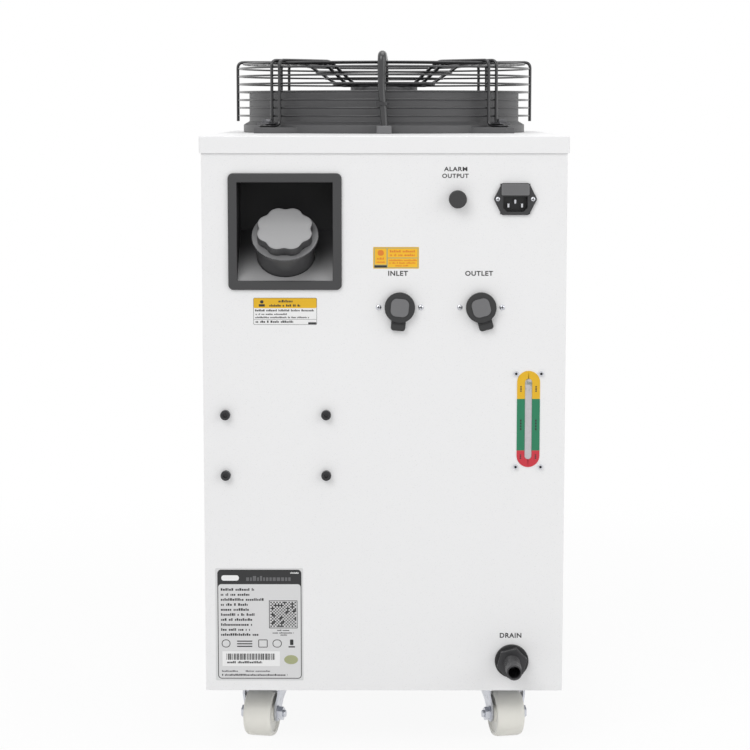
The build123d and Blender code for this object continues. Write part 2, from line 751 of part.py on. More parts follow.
def drain_spout():
    """A thicker root through the panel and its nut, and a hose end in front."""
    spout = rod_y(DRAIN_R, FACE_Y - DRAIN_ROOT, INNER_FACE_Y + DRAIN_INSIDE, DRAIN_X, DRAIN_Z)
    spout += rod_y(DRAIN_HOSE_R, FACE_Y - DRAIN_PROUD, FACE_Y, DRAIN_X, DRAIN_Z)
    ends = (FACE_Y - DRAIN_PROUD - 1, INNER_FACE_Y + DRAIN_INSIDE + 1)
    return spout - rod_y(DRAIN_BORE_R, *ends, DRAIN_X, DRAIN_Z)


def drain_washer():
    ring = Circle(DRAIN_WASHER_R) - Circle(DRAIN_R + HOLE_FIT)
    return raised(Pos(DRAIN_X, DRAIN_Z) * ring, FACE_Y, DRAIN_WASHER)


def drain_nut():
    ring = RegularPolygon(DRAIN_NUT_FLATS / 2, 6, major_radius=False, rotation=DRAIN_NUT_TURN)
    ring -= Circle(DRAIN_R + HOLE_FIT)
    return raised(Pos(DRAIN_X, DRAIN_Z) * ring, FACE_Y - DRAIN_WASHER, DRAIN_NUT)


def alarm_socket():
    return rod_y(ALARM_R, FACE_Y - ALARM_PROUD, INNER_FACE_Y + ALARM_INSIDE, ALARM_X, ALARM_Z)


def alarm_cap():
    front = FACE_Y - ALARM_CAP_PROUD
    cap = rod_y(ALARM_CAP_R, front, FACE_Y - SEAT_GAP, ALARM_X, ALARM_Z)
    return cap - rod_y(ALARM_R + LOOSE, front + ALARM_CAP_ROOF, FACE_Y, ALARM_X, ALARM_Z)


def power_inlet():
    """Flange with pointed sides, body, plug socket and drawer slot."""
    half_w, half_f, half_h = POWER_FLANGE_WIDTH / 2, POWER_FLANGE_FLAT / 2, POWER_FLANGE_HEIGHT / 2
    points = (
        (-half_w, 0),
        (-half_f, -half_h),
        (half_f, -half_h),
        (half_w, 0),
        (half_f, half_h),
        (-half_f, half_h),
    )
    flange = fillet(make_face(Polyline(*points, close=True)).vertices(), POWER_FLANGE_R)
    place = Pos(POWER_X, POWER_Z)
    front = FACE_Y - POWER_FLANGE
    inlet = raised(place * flange, FACE_Y, POWER_FLANGE)
    body = place * Rectangle(POWER_BODY_WIDTH, POWER_BODY_HEIGHT)
    inlet += raised(body, FACE_Y + POWER_BODY_DEPTH, POWER_BODY_DEPTH)
    low, high, half_s = -SOCKET_DROP - SOCKET_HEIGHT / 2, -SOCKET_DROP + SOCKET_HEIGHT / 2, SOCKET_WIDTH / 2
    socket = make_face(
        Polyline(
            (-half_s, high),
            (half_s, high),
            (half_s, low + SOCKET_CORNER),
            (half_s - SOCKET_CORNER, low),
            (SOCKET_CORNER - half_s, low),
            (-half_s, low + SOCKET_CORNER),
            close=True,
        )
    )
    inlet -= raised(place * socket, front + SOCKET_DEPTH, SOCKET_DEPTH + 1)
    tray = Pos(0, DRAWER_RISE) * Rectangle(DRAWER_TRAY_WIDTH + 2 * LOOSE, DRAWER_TRAY_HEIGHT + 2 * LOOSE)
    tray_depth = DRAWER_TRAY_DEPTH + 2 * LOOSE
    return inlet - raised(place * tray, front + tray_depth, tray_depth + 1)


def inlet_pins():
    """Three flat pins that stand on the socket's floor."""
    floor_y = FACE_Y - POWER_FLANGE + SOCKET_DEPTH
    rows = ((-PIN_SPREAD, -SIDE_PIN_DROP), (0.0, MIDDLE_PIN_RISE), (PIN_SPREAD, -SIDE_PIN_DROP))
    middle = POWER_Z - SOCKET_DROP
    pins = [Pos(POWER_X + x, middle + z) * Rectangle(PIN_WIDTH, PIN_HEIGHT) for x, z in rows]
    return Part() + [raised(pin, floor_y, PIN_LENGTH) for pin in pins]


def fuse_drawer():
    front = FACE_Y - POWER_FLANGE
    place = Pos(POWER_X, POWER_Z + DRAWER_RISE)
    plate = RectangleRounded(DRAWER_WIDTH, DRAWER_HEIGHT, DRAWER_R)
    face = raised(place * plate, front - HOLE_FIT, DRAWER_PROUD)
    tray = raised(
        place * Rectangle(DRAWER_TRAY_WIDTH, DRAWER_TRAY_HEIGHT),
        front + DRAWER_TRAY_DEPTH,
        DRAWER_TRAY_DEPTH + HOLE_FIT + DRAWER_PROUD / 2,
    )
    hollow = block(
        POWER_X - DRAWER_TRAY_WIDTH / 2 + DRAWER_WALL,
        POWER_X + DRAWER_TRAY_WIDTH / 2 - DRAWER_WALL,
        front + DRAWER_FRONT,
        front + DRAWER_TRAY_DEPTH - DRAWER_WALL,
        POWER_Z + DRAWER_RISE - DRAWER_TRAY_HEIGHT / 2 + DRAWER_FLOOR,
        POWER_Z + DRAWER_RISE + DRAWER_TRAY_HEIGHT,
    )
    return face + tray - hollow


# Level gauge


def level_scale():
    ring = capsule(SCALE_WIDTH, SCALE_HEIGHT) - capsule(WINDOW_WIDTH, WINDOW_HEIGHT)
    return raised(Pos(GAUGE_X, GAUGE_Z) * ring, FACE_Y, SCALE_THICK)


def level_glass():
    """A clear block behind the panel, with a rib that fills the window."""
    plate = Rectangle(GLASS_WIDTH, GLASS_HEIGHT)
    glass = raised(Pos(GAUGE_X, GAUGE_Z) * plate, INNER_FACE_Y + GLASS_THICK, GLASS_THICK)
    rib = capsule(WINDOW_WIDTH - SEAT_GAP, WINDOW_HEIGHT - SEAT_GAP)
    return glass + raised(Pos(GAUGE_X, GAUGE_Z) * rib, INNER_FACE_Y, SHEET)


# Screws


def bracket_places():
    return [(x, z) for x in BRACKET_SCREW_X for z in BRACKET_SCREW_Z]


def bracket_screws():
    """Cap screws with a hexagon socket, seen by their heads."""
    head = Circle(M6_HEAD_R) - RegularPolygon(M6_SOCKET / 2, 6, major_radius=False)
    made = []
    for x, z in bracket_places():
        made.append(raised(Pos(x, z) * head, FACE_Y - M6_HEAD / 2, M6_HEAD / 2))
        made[-1] += raised(Pos(x, z) * Circle(M6_HEAD_R), FACE_Y, M6_HEAD / 2)
    return Part() + made


# Roof fan


def fan_places():
    """The four corner directions of the fan, in degrees."""
    return [45 + 90 * i for i in range(4)]


def fan_shroud():
    """Ring wall with a foot flange, and four ears that carry the guard."""
    half = (
        (SHROUD_BORE_R, LID_TOP),
        (FAN_FLANGE_R, LID_TOP),
        (FAN_FLANGE_R, LID_TOP + FAN_FLANGE),
        (SHROUD_R, LID_TOP + FAN_FLANGE + COLLAR_TAPER),
        (SHROUD_R, SHROUD_TOP),
        (SHROUD_BORE_R, SHROUD_TOP),
    )
    reach, half_w = EAR_REACH + EAR_WIDTH / 2, EAR_WIDTH / 2
    outline = Polyline(
        (SHROUD_R, -EAR_WIDTH),
        (reach - half_w / 2, -half_w),
        (reach, -half_w / 2),
        (reach, half_w / 2),
        (reach - half_w / 2, half_w),
        (SHROUD_R, EAR_WIDTH),
        close=True,
    )
    ear = make_face(outline)
    shroud = turned(half)
    for angle in fan_places():
        shroud += Pos(0, 0, LID_TOP) * extrude(Rot(0, 0, angle) * ear, amount=EAR_THICK)
    return Pos(0, FAN_Y, 0) * (shroud - rod_z(SHROUD_BORE_R, LID_TOP - 1, SHROUD_TOP + 1))


def fan_motor():
    """Flange, stator disc and shaft, which hang from the guard's ribs."""
    half = (
        (0, MOTOR_BOTTOM - SHAFT_LENGTH),
        (SHAFT_R, MOTOR_BOTTOM - SHAFT_LENGTH),
        (SHAFT_R, MOTOR_BOTTOM),
        (MOTOR_R, MOTOR_BOTTOM),
        (MOTOR_R, MOTOR_BOTTOM + MOTOR_HEIGHT),
        (MOTOR_FLANGE_R, MOTOR_BOTTOM + MOTOR_HEIGHT),
        (MOTOR_FLANGE_R, MOTOR_TOP),
        (0, MOTOR_TOP),
    )
    return Pos(0, FAN_Y, 0) * turned(half)


def fan_impeller():
    """A rotor shell that carries cambered sheet blades with round tips."""
    bottom = ROTOR_TOP - ROTOR_HEIGHT
    rotor = turned(
        (
            (0, bottom),
            (ROTOR_R - ROTOR_EDGE, bottom),
            (ROTOR_R, bottom + ROTOR_EDGE),
            (ROTOR_R, ROTOR_TOP),
            (SHAFT_R + AXLE_FIT, ROTOR_TOP),
            (SHAFT_R + AXLE_FIT, MOTOR_BOTTOM - SHAFT_LENGTH - LOOSE),
            (0, MOTOR_BOTTOM - SHAFT_LENGTH - LOOSE),
        )
    )
    tip_r = SHROUD_BORE_R - BLADE_TIP_GAP
    camber = Circle(BLADE_CAMBER_R + BLADE_THICK) - Circle(BLADE_CAMBER_R)
    camber = Pos(0, -BLADE_CAMBER_R) * camber
    across = Plane(origin=(0, 0, bottom + ROTOR_HEIGHT / 2), x_dir=(0, 1, 0), z_dir=(1, 0, 0))
    sheet = extrude(across * Rot(0, 0, BLADE_PITCH) * camber, amount=tip_r + BLADE_TIP_GAP)
    root_w, tip_w = BLADE_ROOT_WIDTH / 2, BLADE_TIP_WIDTH / 2
    plan = Polyline(
        (ROTOR_R - BLADE_SINK, -root_w),
        (tip_r + BLADE_TIP_GAP, BLADE_SWEEP - tip_w),
        (tip_r + BLADE_TIP_GAP, BLADE_SWEEP + tip_w),
        (ROTOR_R - BLADE_SINK, root_w),
        close=True,
    )
    prism = Pos(0, 0, bottom - ROTOR_HEIGHT) * extrude(make_face(plan), amount=3 * ROTOR_HEIGHT)
    blade = sheet & prism & rod_z(tip_r, bottom - ROTOR_HEIGHT / 2, ROTOR_TOP + ROTOR_HEIGHT / 2)
    blades = [Rot(0, 0, i * 360 / BLADES) * blade for i in range(BLADES)]
    return Pos(0, FAN_Y, 0) * (rotor + blades)


def guard_ring(radius, z):
    """One welded wire ring of flat-sided section."""
    outer = RegularPolygon(radius + RING_WIRE / 2, RING_SIDES)
    inner = RegularPolygon(radius - RING_WIRE / 2, RING_SIDES)
    return Pos(0, 0, z - RING_WIRE / 2) * extrude(outer - inner, amount=RING_WIRE)


def rib_profile(*foot):
    """The rib's centre line in its own plane, (radius, height), from its foot to the motor."""
    return (
        *foot,
        (RIB_R, RIB_TOP_Z),
        (CONE_R, RIB_TOP_Z),
        (CONE_FOOT_R, RIB_END_Z),
        (RIB_END_R, RIB_END_Z),
    )


def rib(points, offset=0.0):
    """A square wire bent along a (radius, height) profile, offset sideways from it."""
    path = Polyline(*clipped([(r, offset, z) for r, z in points], RIB_CLIP))
    start = Plane(origin=path @ 0, x_dir=(0, 1, 0), z_dir=path % 0)
    return sweep(start * Rectangle(RIB_WIRE, RIB_WIRE), path=path, transition=Transition.RIGHT)


def guard_foot():
    """The loop that joins a pair of ribs round its bolt."""
    half = RIB_PAIR_GAP / 2
    outer = half + RIB_WIRE / 2
    z = EAR_TOP
    arch = Circle(outer) - Circle(outer - RIB_WIRE) - Pos(-outer, 0) * Rectangle(2 * outer, 2 * outer)
    return Pos(FOOT_REACH - outer, 0, z) * extrude(arch, amount=RIB_WIRE)


def guard_basket():
    """The welded wires: side rings, top rings, cone rings, four single ribs and four pairs."""
    rings = [guard_ring(RING_R, FIRST_RING_Z - i * RING_PITCH) for i in range(SIDE_RINGS)]
    rings += [guard_ring(TOP_RING_R - i * TOP_RING_PITCH, TOP_RING_Z) for i in range(TOP_RINGS)]
    run, fall = CONE_R - CONE_FOOT_R, RIB_TOP_Z - RIB_END_Z
    slant = sqrt(run**2 + fall**2)
    drop = (RING_WIRE + RIB_WIRE) / 2 - WELD / 2
    for i in range(CONE_RINGS):
        share = (i + 0.5) / CONE_RINGS
        radius = CONE_R - share * run + drop * fall / slant
        rings.append(guard_ring(radius, RIB_TOP_Z - share * fall - drop * run / slant))

    single = rib(rib_profile((RIB_R, RIB_FREE_END)))
    foot_z = EAR_TOP + RIB_WIRE / 2
    loop_r = FOOT_REACH - (RIB_PAIR_GAP + RIB_WIRE) / 2
    foot_line = rib_profile((loop_r, foot_z), (RIB_R, foot_z))
    pair = [rib(foot_line, s * RIB_PAIR_GAP / 2) for s in (-1, 1)]
    pieces = [Rot(0, 0, 90 * i) * single for i in range(4)]
    for angle in fan_places():
        pieces += [Rot(0, 0, angle) * piece for piece in (*pair, guard_foot())]
    return rings[0] + rings[1:] + pieces


def guard_zone(reach):
    """A column whose flat sides cut the ribs square."""
    column = RegularPolygon(reach, RING_SIDES, major_radius=False, rotation=180 / RING_SIDES)
    return Pos(0, 0, LID_TOP) * extrude(column, amount=FAN_RISE)


def guard_sections():
    """The basket's wall with its feet, its flat top and its cone, butt-welded to each other."""
    basket = guard_basket()
    inside = guard_zone(RIB_R - RIB_WIRE / 2 - RIB_CLIP - RING_WIRE / 2)
    middle = guard_zone(CONE_R + RIB_CLIP)
    sections = {
        "guard_wall": basket - inside,
        "fan_guard": (basket & inside) - middle,
        "guard_cone": basket & middle,
    }
    return {name: Pos(0, FAN_Y, 0) * section for name, section in sections.items()}


def guard_clamps():
    """Clamp plates and hexagon bolt heads that hold the guard's feet down."""
    seat = EAR_TOP + RIB_WIRE
    made = []
    for angle in fan_places():
        place = Rot(0, 0, angle) * Pos(EAR_REACH - CLAMP_LENGTH / 2 + CLAMP_NOSE, 0, seat + CLAMP / 2)
        head = RegularPolygon(BOLT_HEAD_FLATS / 2, 6, major_radius=False)
        bolt = Rot(0, 0, angle) * Pos(EAR_REACH, 0, seat + CLAMP) * extrude(head, amount=BOLT_HEAD)
        made.append(place * Box(CLAMP_LENGTH, CLAMP_WIDTH, CLAMP) + bolt)
    return Pos(0, FAN_Y, 0) * (Part() + made)


def fan_cable():
    """Motor lead: up from the motor, over the guard's edge and down its front rib."""
    corner = RIB_CLIP + CABLE_GAP + CABLE_D / 2 + RIB_WIRE / 2 * (1 - tan(pi / 8))
    start_y = FAN_Y - CABLE_START_R
    points = (
        (0, start_y, MOTOR_TOP),
        (0, start_y, CABLE_TOP_Z - CABLE_DIP),
        (0, FAN_Y - CONE_R + CABLE_CREST, CABLE_TOP_Z),
        (0, CABLE_Y, CABLE_TOP_Z),
        (0, CABLE_Y, GROMMET_TOP),
    )
    bends = (CABLE_RISE_BEND, CABLE_DIP_BEND, corner)
    print("cable bend radii", bend_radii(points, bends))
    return tube_run(points, bends, CABLE_D / 2, CABLE_SIDES)


def cable_tie():
    """A band round the cable and the rib behind it."""
    half_x = CABLE_D / 2 + SEAT_GAP
    y0, y1 = CABLE_Y - CABLE_D / 2 - SEAT_GAP, FAN_Y - RIB_R + RIB_WIRE / 2 + SEAT_GAP
    low, high = TIE_Z - TIE_HEIGHT / 2, TIE_Z + TIE_HEIGHT / 2
    band = block(-half_x - TIE_BAND, half_x + TIE_BAND, y0 - TIE_BAND, y1 + TIE_BAND, low, high)
    return band - block(-half_x, half_x, y0, y1, low - 1, high + 1)


def cable_grommet():
    half_x, half_y = GROMMET_WIDTH / 2, GROMMET_DEPTH / 2
    grommet = block(-half_x, half_x, CABLE_Y - half_y, CABLE_Y + half_y, LID_TOP, GROMMET_TOP)
    return fillet(grommet.edges().filter_by(Axis.Z), GROMMET_CORNER_R)


# Control side


def controller():
    """Bezel and body with a sunk display and a pocket for each key."""
    face = REAR_Y + CONTROL_PROUD
    half_w, half_h = CONTROL_WIDTH / 2, CONTROL_HEIGHT / 2
    body_w, body_h = CONTROL_BODY_WIDTH / 2, CONTROL_BODY_HEIGHT / 2
    unit = block(-half_w, half_w, REAR_Y, face, CONTROL_Z - half_h, CONTROL_Z + half_h)
    unit = fillet(unit.edges().filter_by(Axis.Y), CONTROL_CORNER_R)
    back = REAR_Y - CONTROL_BODY_DEPTH
    unit += block(-body_w, body_w, back, REAR_Y, CONTROL_Z - body_h, CONTROL_Z + body_h)
    half_d, half_e = DISPLAY_WIDTH / 2, DISPLAY_HEIGHT / 2
    unit -= block(
        DISPLAY_X - half_d,
        DISPLAY_X + half_d,
        face - DISPLAY_DEPTH,
        face + 1,
        CONTROL_Z - half_e,
        CONTROL_Z + half_e,
    )
    for i in range(KEYS):
        unit -= key_block(i, face - KEY_DEPTH, face + 1, KEY_SIZE / 2 + LOOSE)
    return unit


def key_block(index, y0, y1, half):
    x = KEY_FIRST_X - index * KEY_PITCH
    return block(x - half, x + half, y0, y1, CONTROL_Z - half, CONTROL_Z + half)


def control_key(index):
    face = REAR_Y + CONTROL_PROUD
    key = key_block(index, face - KEY_DEPTH + KEY_TRAVEL + LOOSE, face + KEY_PROUD, KEY_SIZE / 2)
    return chamfer(key.faces().sort_by(Axis.Y)[-1].edges(), KEY_CHAMFER)


def rocker_frame():
    half_w, half_h = ROCKER_FRAME_WIDTH / 2, ROCKER_FRAME_HEIGHT / 2
    well_w, well_h = ROCKER_WIDTH / 2 + LOOSE, ROCKER_HEIGHT / 2 + LOOSE
    face = REAR_Y + ROCKER_FRAME_PROUD
    frame = block(
        ROCKER_X - half_w, ROCKER_X + half_w, REAR_Y, face, CONTROL_Z - half_h, CONTROL_Z + half_h
    )
    frame += block(
        ROCKER_X - well_w - ROCKER_WALL + LOOSE,
        ROCKER_X + well_w + ROCKER_WALL - LOOSE,
        REAR_Y - ROCKER_DEPTH,
        REAR_Y,
        CONTROL_Z - well_h - ROCKER_WALL + LOOSE,
        CONTROL_Z + well_h + ROCKER_WALL - LOOSE,
    )
    pivot = rocker_pivot(LOOSE, ROCKER_PIVOT_R + AXLE_FIT)
    return frame - Pos(ROCKER_X, REAR_Y - ROCKER_PIVOT_DEPTH, CONTROL_Z) * pivot - block(
        ROCKER_X - well_w,
        ROCKER_X + well_w,
        REAR_Y - ROCKER_DEPTH + ROCKER_WALL,
        face + 1,
        CONTROL_Z - well_h,
        CONTROL_Z + well_h,
    )


def rocker_pivot(slack, radius):
    """The rocker's pivot pin, or with some slack the hole for it in the frame."""
    reach = ROCKER_WIDTH / 2 + LOOSE + ROCKER_PIVOT_IN + slack
    return rod_x(radius, -reach, reach, 0, 0)


def power_rocker():
    """A rocker on its pivot pin, tipped to its off side."""
    half = ROCKER_HEIGHT / 2 - ROCKER_END_GAP
    foot = half - ROCKER_BACK_STEP
    tip = ROCKER_FRAME_PROUD + ROCKER_PIVOT_DEPTH + ROCKER_CREST
    points = ((-ROCKER_BACK, -foot), (-ROCKER_BACK, foot), (tip, half), (tip - ROCKER_DISH, 0), (tip, -half))
    profile = Plane.YZ * make_face(Polyline(*points, close=True))
    rocker = extrude(profile, amount=ROCKER_WIDTH / 2 - ROCKER_SIDE_GAP, both=True)
    rocker += rocker_pivot(0, ROCKER_PIVOT_R)
    return Pos(ROCKER_X, REAR_Y - ROCKER_PIVOT_DEPTH, CONTROL_Z) * Rot(ROCKER_TILT, 0, 0) * rocker


# Castors


def castor_spots():
    """Name, kingpin place and rest turn of each castor."""
    rows = (("front", -CASTOR_Y), ("rear", CASTOR_Y))
    sides = (("left", -CASTOR_X), ("right", CASTOR_X))
    return [
        (f"{row}_{side}", x, y, CASTOR_TURN[i][j])
        for i, (row, y) in enumerate(rows)
        for j, (side, x) in enumerate(sides)
    ]


def castor_plates():
    """Top plates with the upper race and the kingpin rivet."""
    made = []
    for _, x, y, _ in castor_spots():
        half = PLATE_SIZE / 2
        plate = block(x - half, x + half, y - half, y + half, BODY_BOTTOM, PAN_BOTTOM)
        plate += rod_z(RACE_R, BODY_BOTTOM - RACE_HEIGHT, BODY_BOTTOM, x, y)
        head_top = FORK_UNDER - LOOSE
        plate += rod_z(KINGPIN_R, head_top, BODY_BOTTOM, x, y)
        nut = RegularPolygon(KINGPIN_NUT_FLATS / 2, 6, major_radius=False)
        plate += Pos(x, y, head_top - KINGPIN_NUT) * extrude(nut, amount=KINGPIN_NUT)
        made.append(plate)
    return Part() + made


def castor_fork():
    """A pressed fork: the front outline crossed with the side outline."""
    leg = LEG_INNER_X + FORK_SHEET
    top = FORK_TOP_WIDTH / 2
    low = WHEEL_R - FORK_EYE_R
    knee, ankle = FORK_TOP - FORK_KNEE, FORK_TOP - FORK_ANKLE
    outer = (
        (-leg, low),
        (-leg, ankle),
        (-top, knee),
        (-top, FORK_TOP),
        (top, FORK_TOP),
        (top, knee),
        (leg, ankle),
        (leg, low),
    )
    flat = leg - LEG_INNER_X
    inner = (
        (-LEG_INNER_X, low - 1),
        (-LEG_INNER_X, ankle),
        (flat - top, knee),
        (flat - top, FORK_UNDER),
        (top - flat, FORK_UNDER),
        (top - flat, knee),
        (LEG_INNER_X, ankle),
        (LEG_INNER_X, low - 1),
    )
    front = make_face(Polyline(*outer, close=True)) - make_face(Polyline(*inner, close=True))
    reach = CASTOR_TRAIL + FORK_TOP_DEPTH
    bent = extrude(Plane.XZ * front, amount=reach, both=True)
    eye = Pos(-CASTOR_TRAIL, WHEEL_R) * Circle(FORK_EYE_R)
    crown = Pos(0, (FORK_TOP + knee) / 2) * Rectangle(FORK_TOP_DEPTH, FORK_TOP - knee)
    side = make_hull([eye.edge(), *crown.edges()])
    fork = bent & extrude(Plane.YZ * side, amount=reach, both=True)
    return fork - rod_z(KINGPIN_R + AXLE_FIT, FORK_UNDER - 1, FORK_TOP + 1)


def castor_wheel():
    half, shoulder = WHEEL_WIDTH / 2, WHEEL_WIDTH / 2 - WHEEL_SHOULDER
    edge = WHEEL_R - WHEEL_SHOULDER_DROP
    bore = AXLE_R + AXLE_FIT
    points = (
        (bore, -half),
        (edge, -half),
        (WHEEL_R, -shoulder),
        (WHEEL_R, shoulder),
        (edge, half),
        (bore, half),
    )
    return Pos(0, -CASTOR_TRAIL, WHEEL_R) * Rot(0, 90, 0) * turned(points)


def castor_axle(nut_side):
    """Bolt with a hexagon head on one side and a nut on the other."""
    outer = LEG_INNER_X + FORK_SHEET
    axle = rod_x(AXLE_R, -outer, outer, -CASTOR_TRAIL, WHEEL_R)
    for side, flats, thick in ((-nut_side, AXLE_HEAD_FLATS, AXLE_HEAD), (nut_side, AXLE_NUT_FLATS, AXLE_NUT)):
        plane = Plane(origin=(side * outer, -CASTOR_TRAIL, WHEEL_R), z_dir=(side, 0, 0))
        axle += extrude(plane * RegularPolygon(flats / 2, 6, major_radius=False), amount=thick)
    return axle


# Inside the cabinet


def tank_bracket():
    """Shelf and back plate that hang the tank from the service panel."""
    left, right = BRACKET_SCREW_X[0] - BRACKET_MARGIN, BRACKET_SCREW_X[1] + BRACKET_MARGIN
    top = BRACKET_SCREW_Z[0] + BRACKET_MARGIN
    shelf_z = TANK_BOTTOM - BRACKET_SHEET
    plate = block(left, right, INNER_FACE_Y, INNER_FACE_Y + BRACKET_SHEET, shelf_z, top)
    plate += block(left, right, INNER_FACE_Y, TANK_BACK_Y, shelf_z, TANK_BOTTOM)
    return plate


def water_tank():
    """Closed tank whose cut-off front corner takes the filler neck."""

    def hull(shrink):
        nose = TANK_NOSE + shrink * (2 - sqrt(2))
        front, back = TANK_FRONT_Y + shrink, TANK_BACK_Y - shrink
        low, high = TANK_BOTTOM + shrink, TANK_TOP - shrink
        nose -= 2 * shrink * (1 - 1 / sqrt(2))
        points = ((front, low), (back, low), (back, high), (front + nose, high), (front, high - nose))
        profile = Plane.YZ * make_face(Polyline(*points, close=True))
        middle = Pos((TANK_LEFT + TANK_RIGHT) / 2, 0, 0)
        return middle * extrude(profile, amount=(TANK_RIGHT - TANK_LEFT) / 2 - shrink, both=True)

    mouth = NECK_PLANE * rod_z(NECK_BORE_R, -NECK_TAIL - 3 * TANK_WALL, -NECK_TAIL + 1)
    inlet = rod_y(PORT_BORE_R, TANK_FRONT_Y - 1, TANK_FRONT_Y + 2 * TANK_WALL, PORT_X[0], PORT_Z)
    return hull(0) - hull(TANK_WALL) - mouth - inlet


def compressor():
    """Domed shell on a foot plate, with its accumulator beside it."""
    foot_top = PAN_FLOOR + COMPRESSOR_FOOT
    top = foot_top + COMPRESSOR_HEIGHT
    half = (
        (0, foot_top),
        (COMPRESSOR_R, foot_top),
        (COMPRESSOR_R, top - COMPRESSOR_DOME),
        (COMPRESSOR_CROWN_R, top),
        (0, top),
    )
    shell = Pos(COMPRESSOR_X, COMPRESSOR_Y, 0) * turned(half)
    foot = Pos(COMPRESSOR_X, COMPRESSOR_Y, PAN_FLOOR) * extrude(
        RegularPolygon(COMPRESSOR_FOOT_R, 3), amount=COMPRESSOR_FOOT
    )
    low = ACCUMULATOR_LOW
    side = rod_z(ACCUMULATOR_R, low, low + ACCUMULATOR_HEIGHT, ACCUMULATOR_X, COMPRESSOR_Y)
    strap = block(
        COMPRESSOR_X,
        ACCUMULATOR_X,
        COMPRESSOR_Y - STRAP_WIDTH / 2,
        COMPRESSOR_Y + STRAP_WIDTH / 2,
        low + STRAP_RISE,
        low + STRAP_RISE + STRAP_HEIGHT,
    )
    return shell + foot + side + strap


def condenser():
    """Finned block on the pan, with grooves between its tube rows."""
    half = INNER_X - CONDENSER_SIDE_GAP
    core = block(-half, half, CONDENSER_Y, CONDENSER_Y + CONDENSER_THICK, PAN_FLOOR, CONDENSER_TOP)
    pitch = (CONDENSER_TOP - PAN_FLOOR) / (FIN_GROOVES + 1)
    across = half - FIN_MARGIN
    for i in range(FIN_GROOVES):
        low = PAN_FLOOR + (i + 1) * pitch - FIN_GROOVE_HEIGHT / 2
        high = low + FIN_GROOVE_HEIGHT
        core -= block(-across, across, CONDENSER_Y - 1, CONDENSER_Y + FIN_GROOVE, low, high)
    return core


def plate_evaporator():
    half_w, half_d = EVAPORATOR_WIDTH / 2, EVAPORATOR_DEPTH / 2
    pack = block(
        EVAPORATOR_X - half_w,
        EVAPORATOR_X + half_w,
        EVAPORATOR_Y - half_d,
        EVAPORATOR_Y + half_d,
        PAN_FLOOR,
        PAN_FLOOR + EVAPORATOR_HEIGHT,
    )
    return fillet(pack.edges().filter_by(Axis.Y), EVAPORATOR_CORNER_R)


def circulation_pump():
    """Volute, motor and foot on the pan."""
    x1 = PUMP_X + VOLUTE_WIDTH
    pump = rod_x(VOLUTE_R, PUMP_X, x1, PUMP_Y, PUMP_Z)
    pump += rod_x(PUMP_MOTOR_R, x1, x1 + PUMP_MOTOR_LENGTH, PUMP_Y, PUMP_Z)
    half = PUMP_FOOT_WIDTH / 2
    foot_end = x1 + PUMP_MOTOR_LENGTH - PUMP_FOOT_BACK
    foot = block(PUMP_X + PUMP_FOOT_FRONT, foot_end, PUMP_Y - half, PUMP_Y + half, PAN_FLOOR, PUMP_Z)
    return pump + foot


def filter_drier():
    return rod_y(DRIER_R, DRIER_Y, DRIER_Y + DRIER_LENGTH, EVAPORATOR_X, DRIER_Z)


def copper_pipes():
    """Discharge, liquid and suction pipes."""
    top = PAN_FLOOR + COMPRESSOR_FOOT + COMPRESSOR_HEIGHT
    high = top + DISCHARGE_RISE
    discharge = tube_run(
        (
            (COMPRESSOR_X, COMPRESSOR_Y, top),
            (COMPRESSOR_X, COMPRESSOR_Y, high),
            (COMPRESSOR_X, CONDENSER_Y, high),
        ),
        (DISCHARGE_BEND,),
        TUBE_R,
    )
    liquid = rod_y(TUBE_R, EVAPORATOR_BACK_Y, DRIER_Y, EVAPORATOR_X, DRIER_Z)
    feed = rod_y(TUBE_R, DRIER_Y + DRIER_LENGTH, CONDENSER_Y, EVAPORATOR_X, DRIER_Z)
    suction = tube_run(
        (
            (EVAPORATOR_X - EVAPORATOR_WIDTH / 2, COMPRESSOR_Y, EVAPORATOR_PORT_Z),
            (ACCUMULATOR_X, COMPRESSOR_Y, EVAPORATOR_PORT_Z),
            (ACCUMULATOR_X, COMPRESSOR_Y, ACCUMULATOR_LOW + ACCUMULATOR_HEIGHT),
        ),
        (SUCTION_BEND,),
        TUBE_R,
    )
    return Part() + [discharge, liquid, feed, suction]


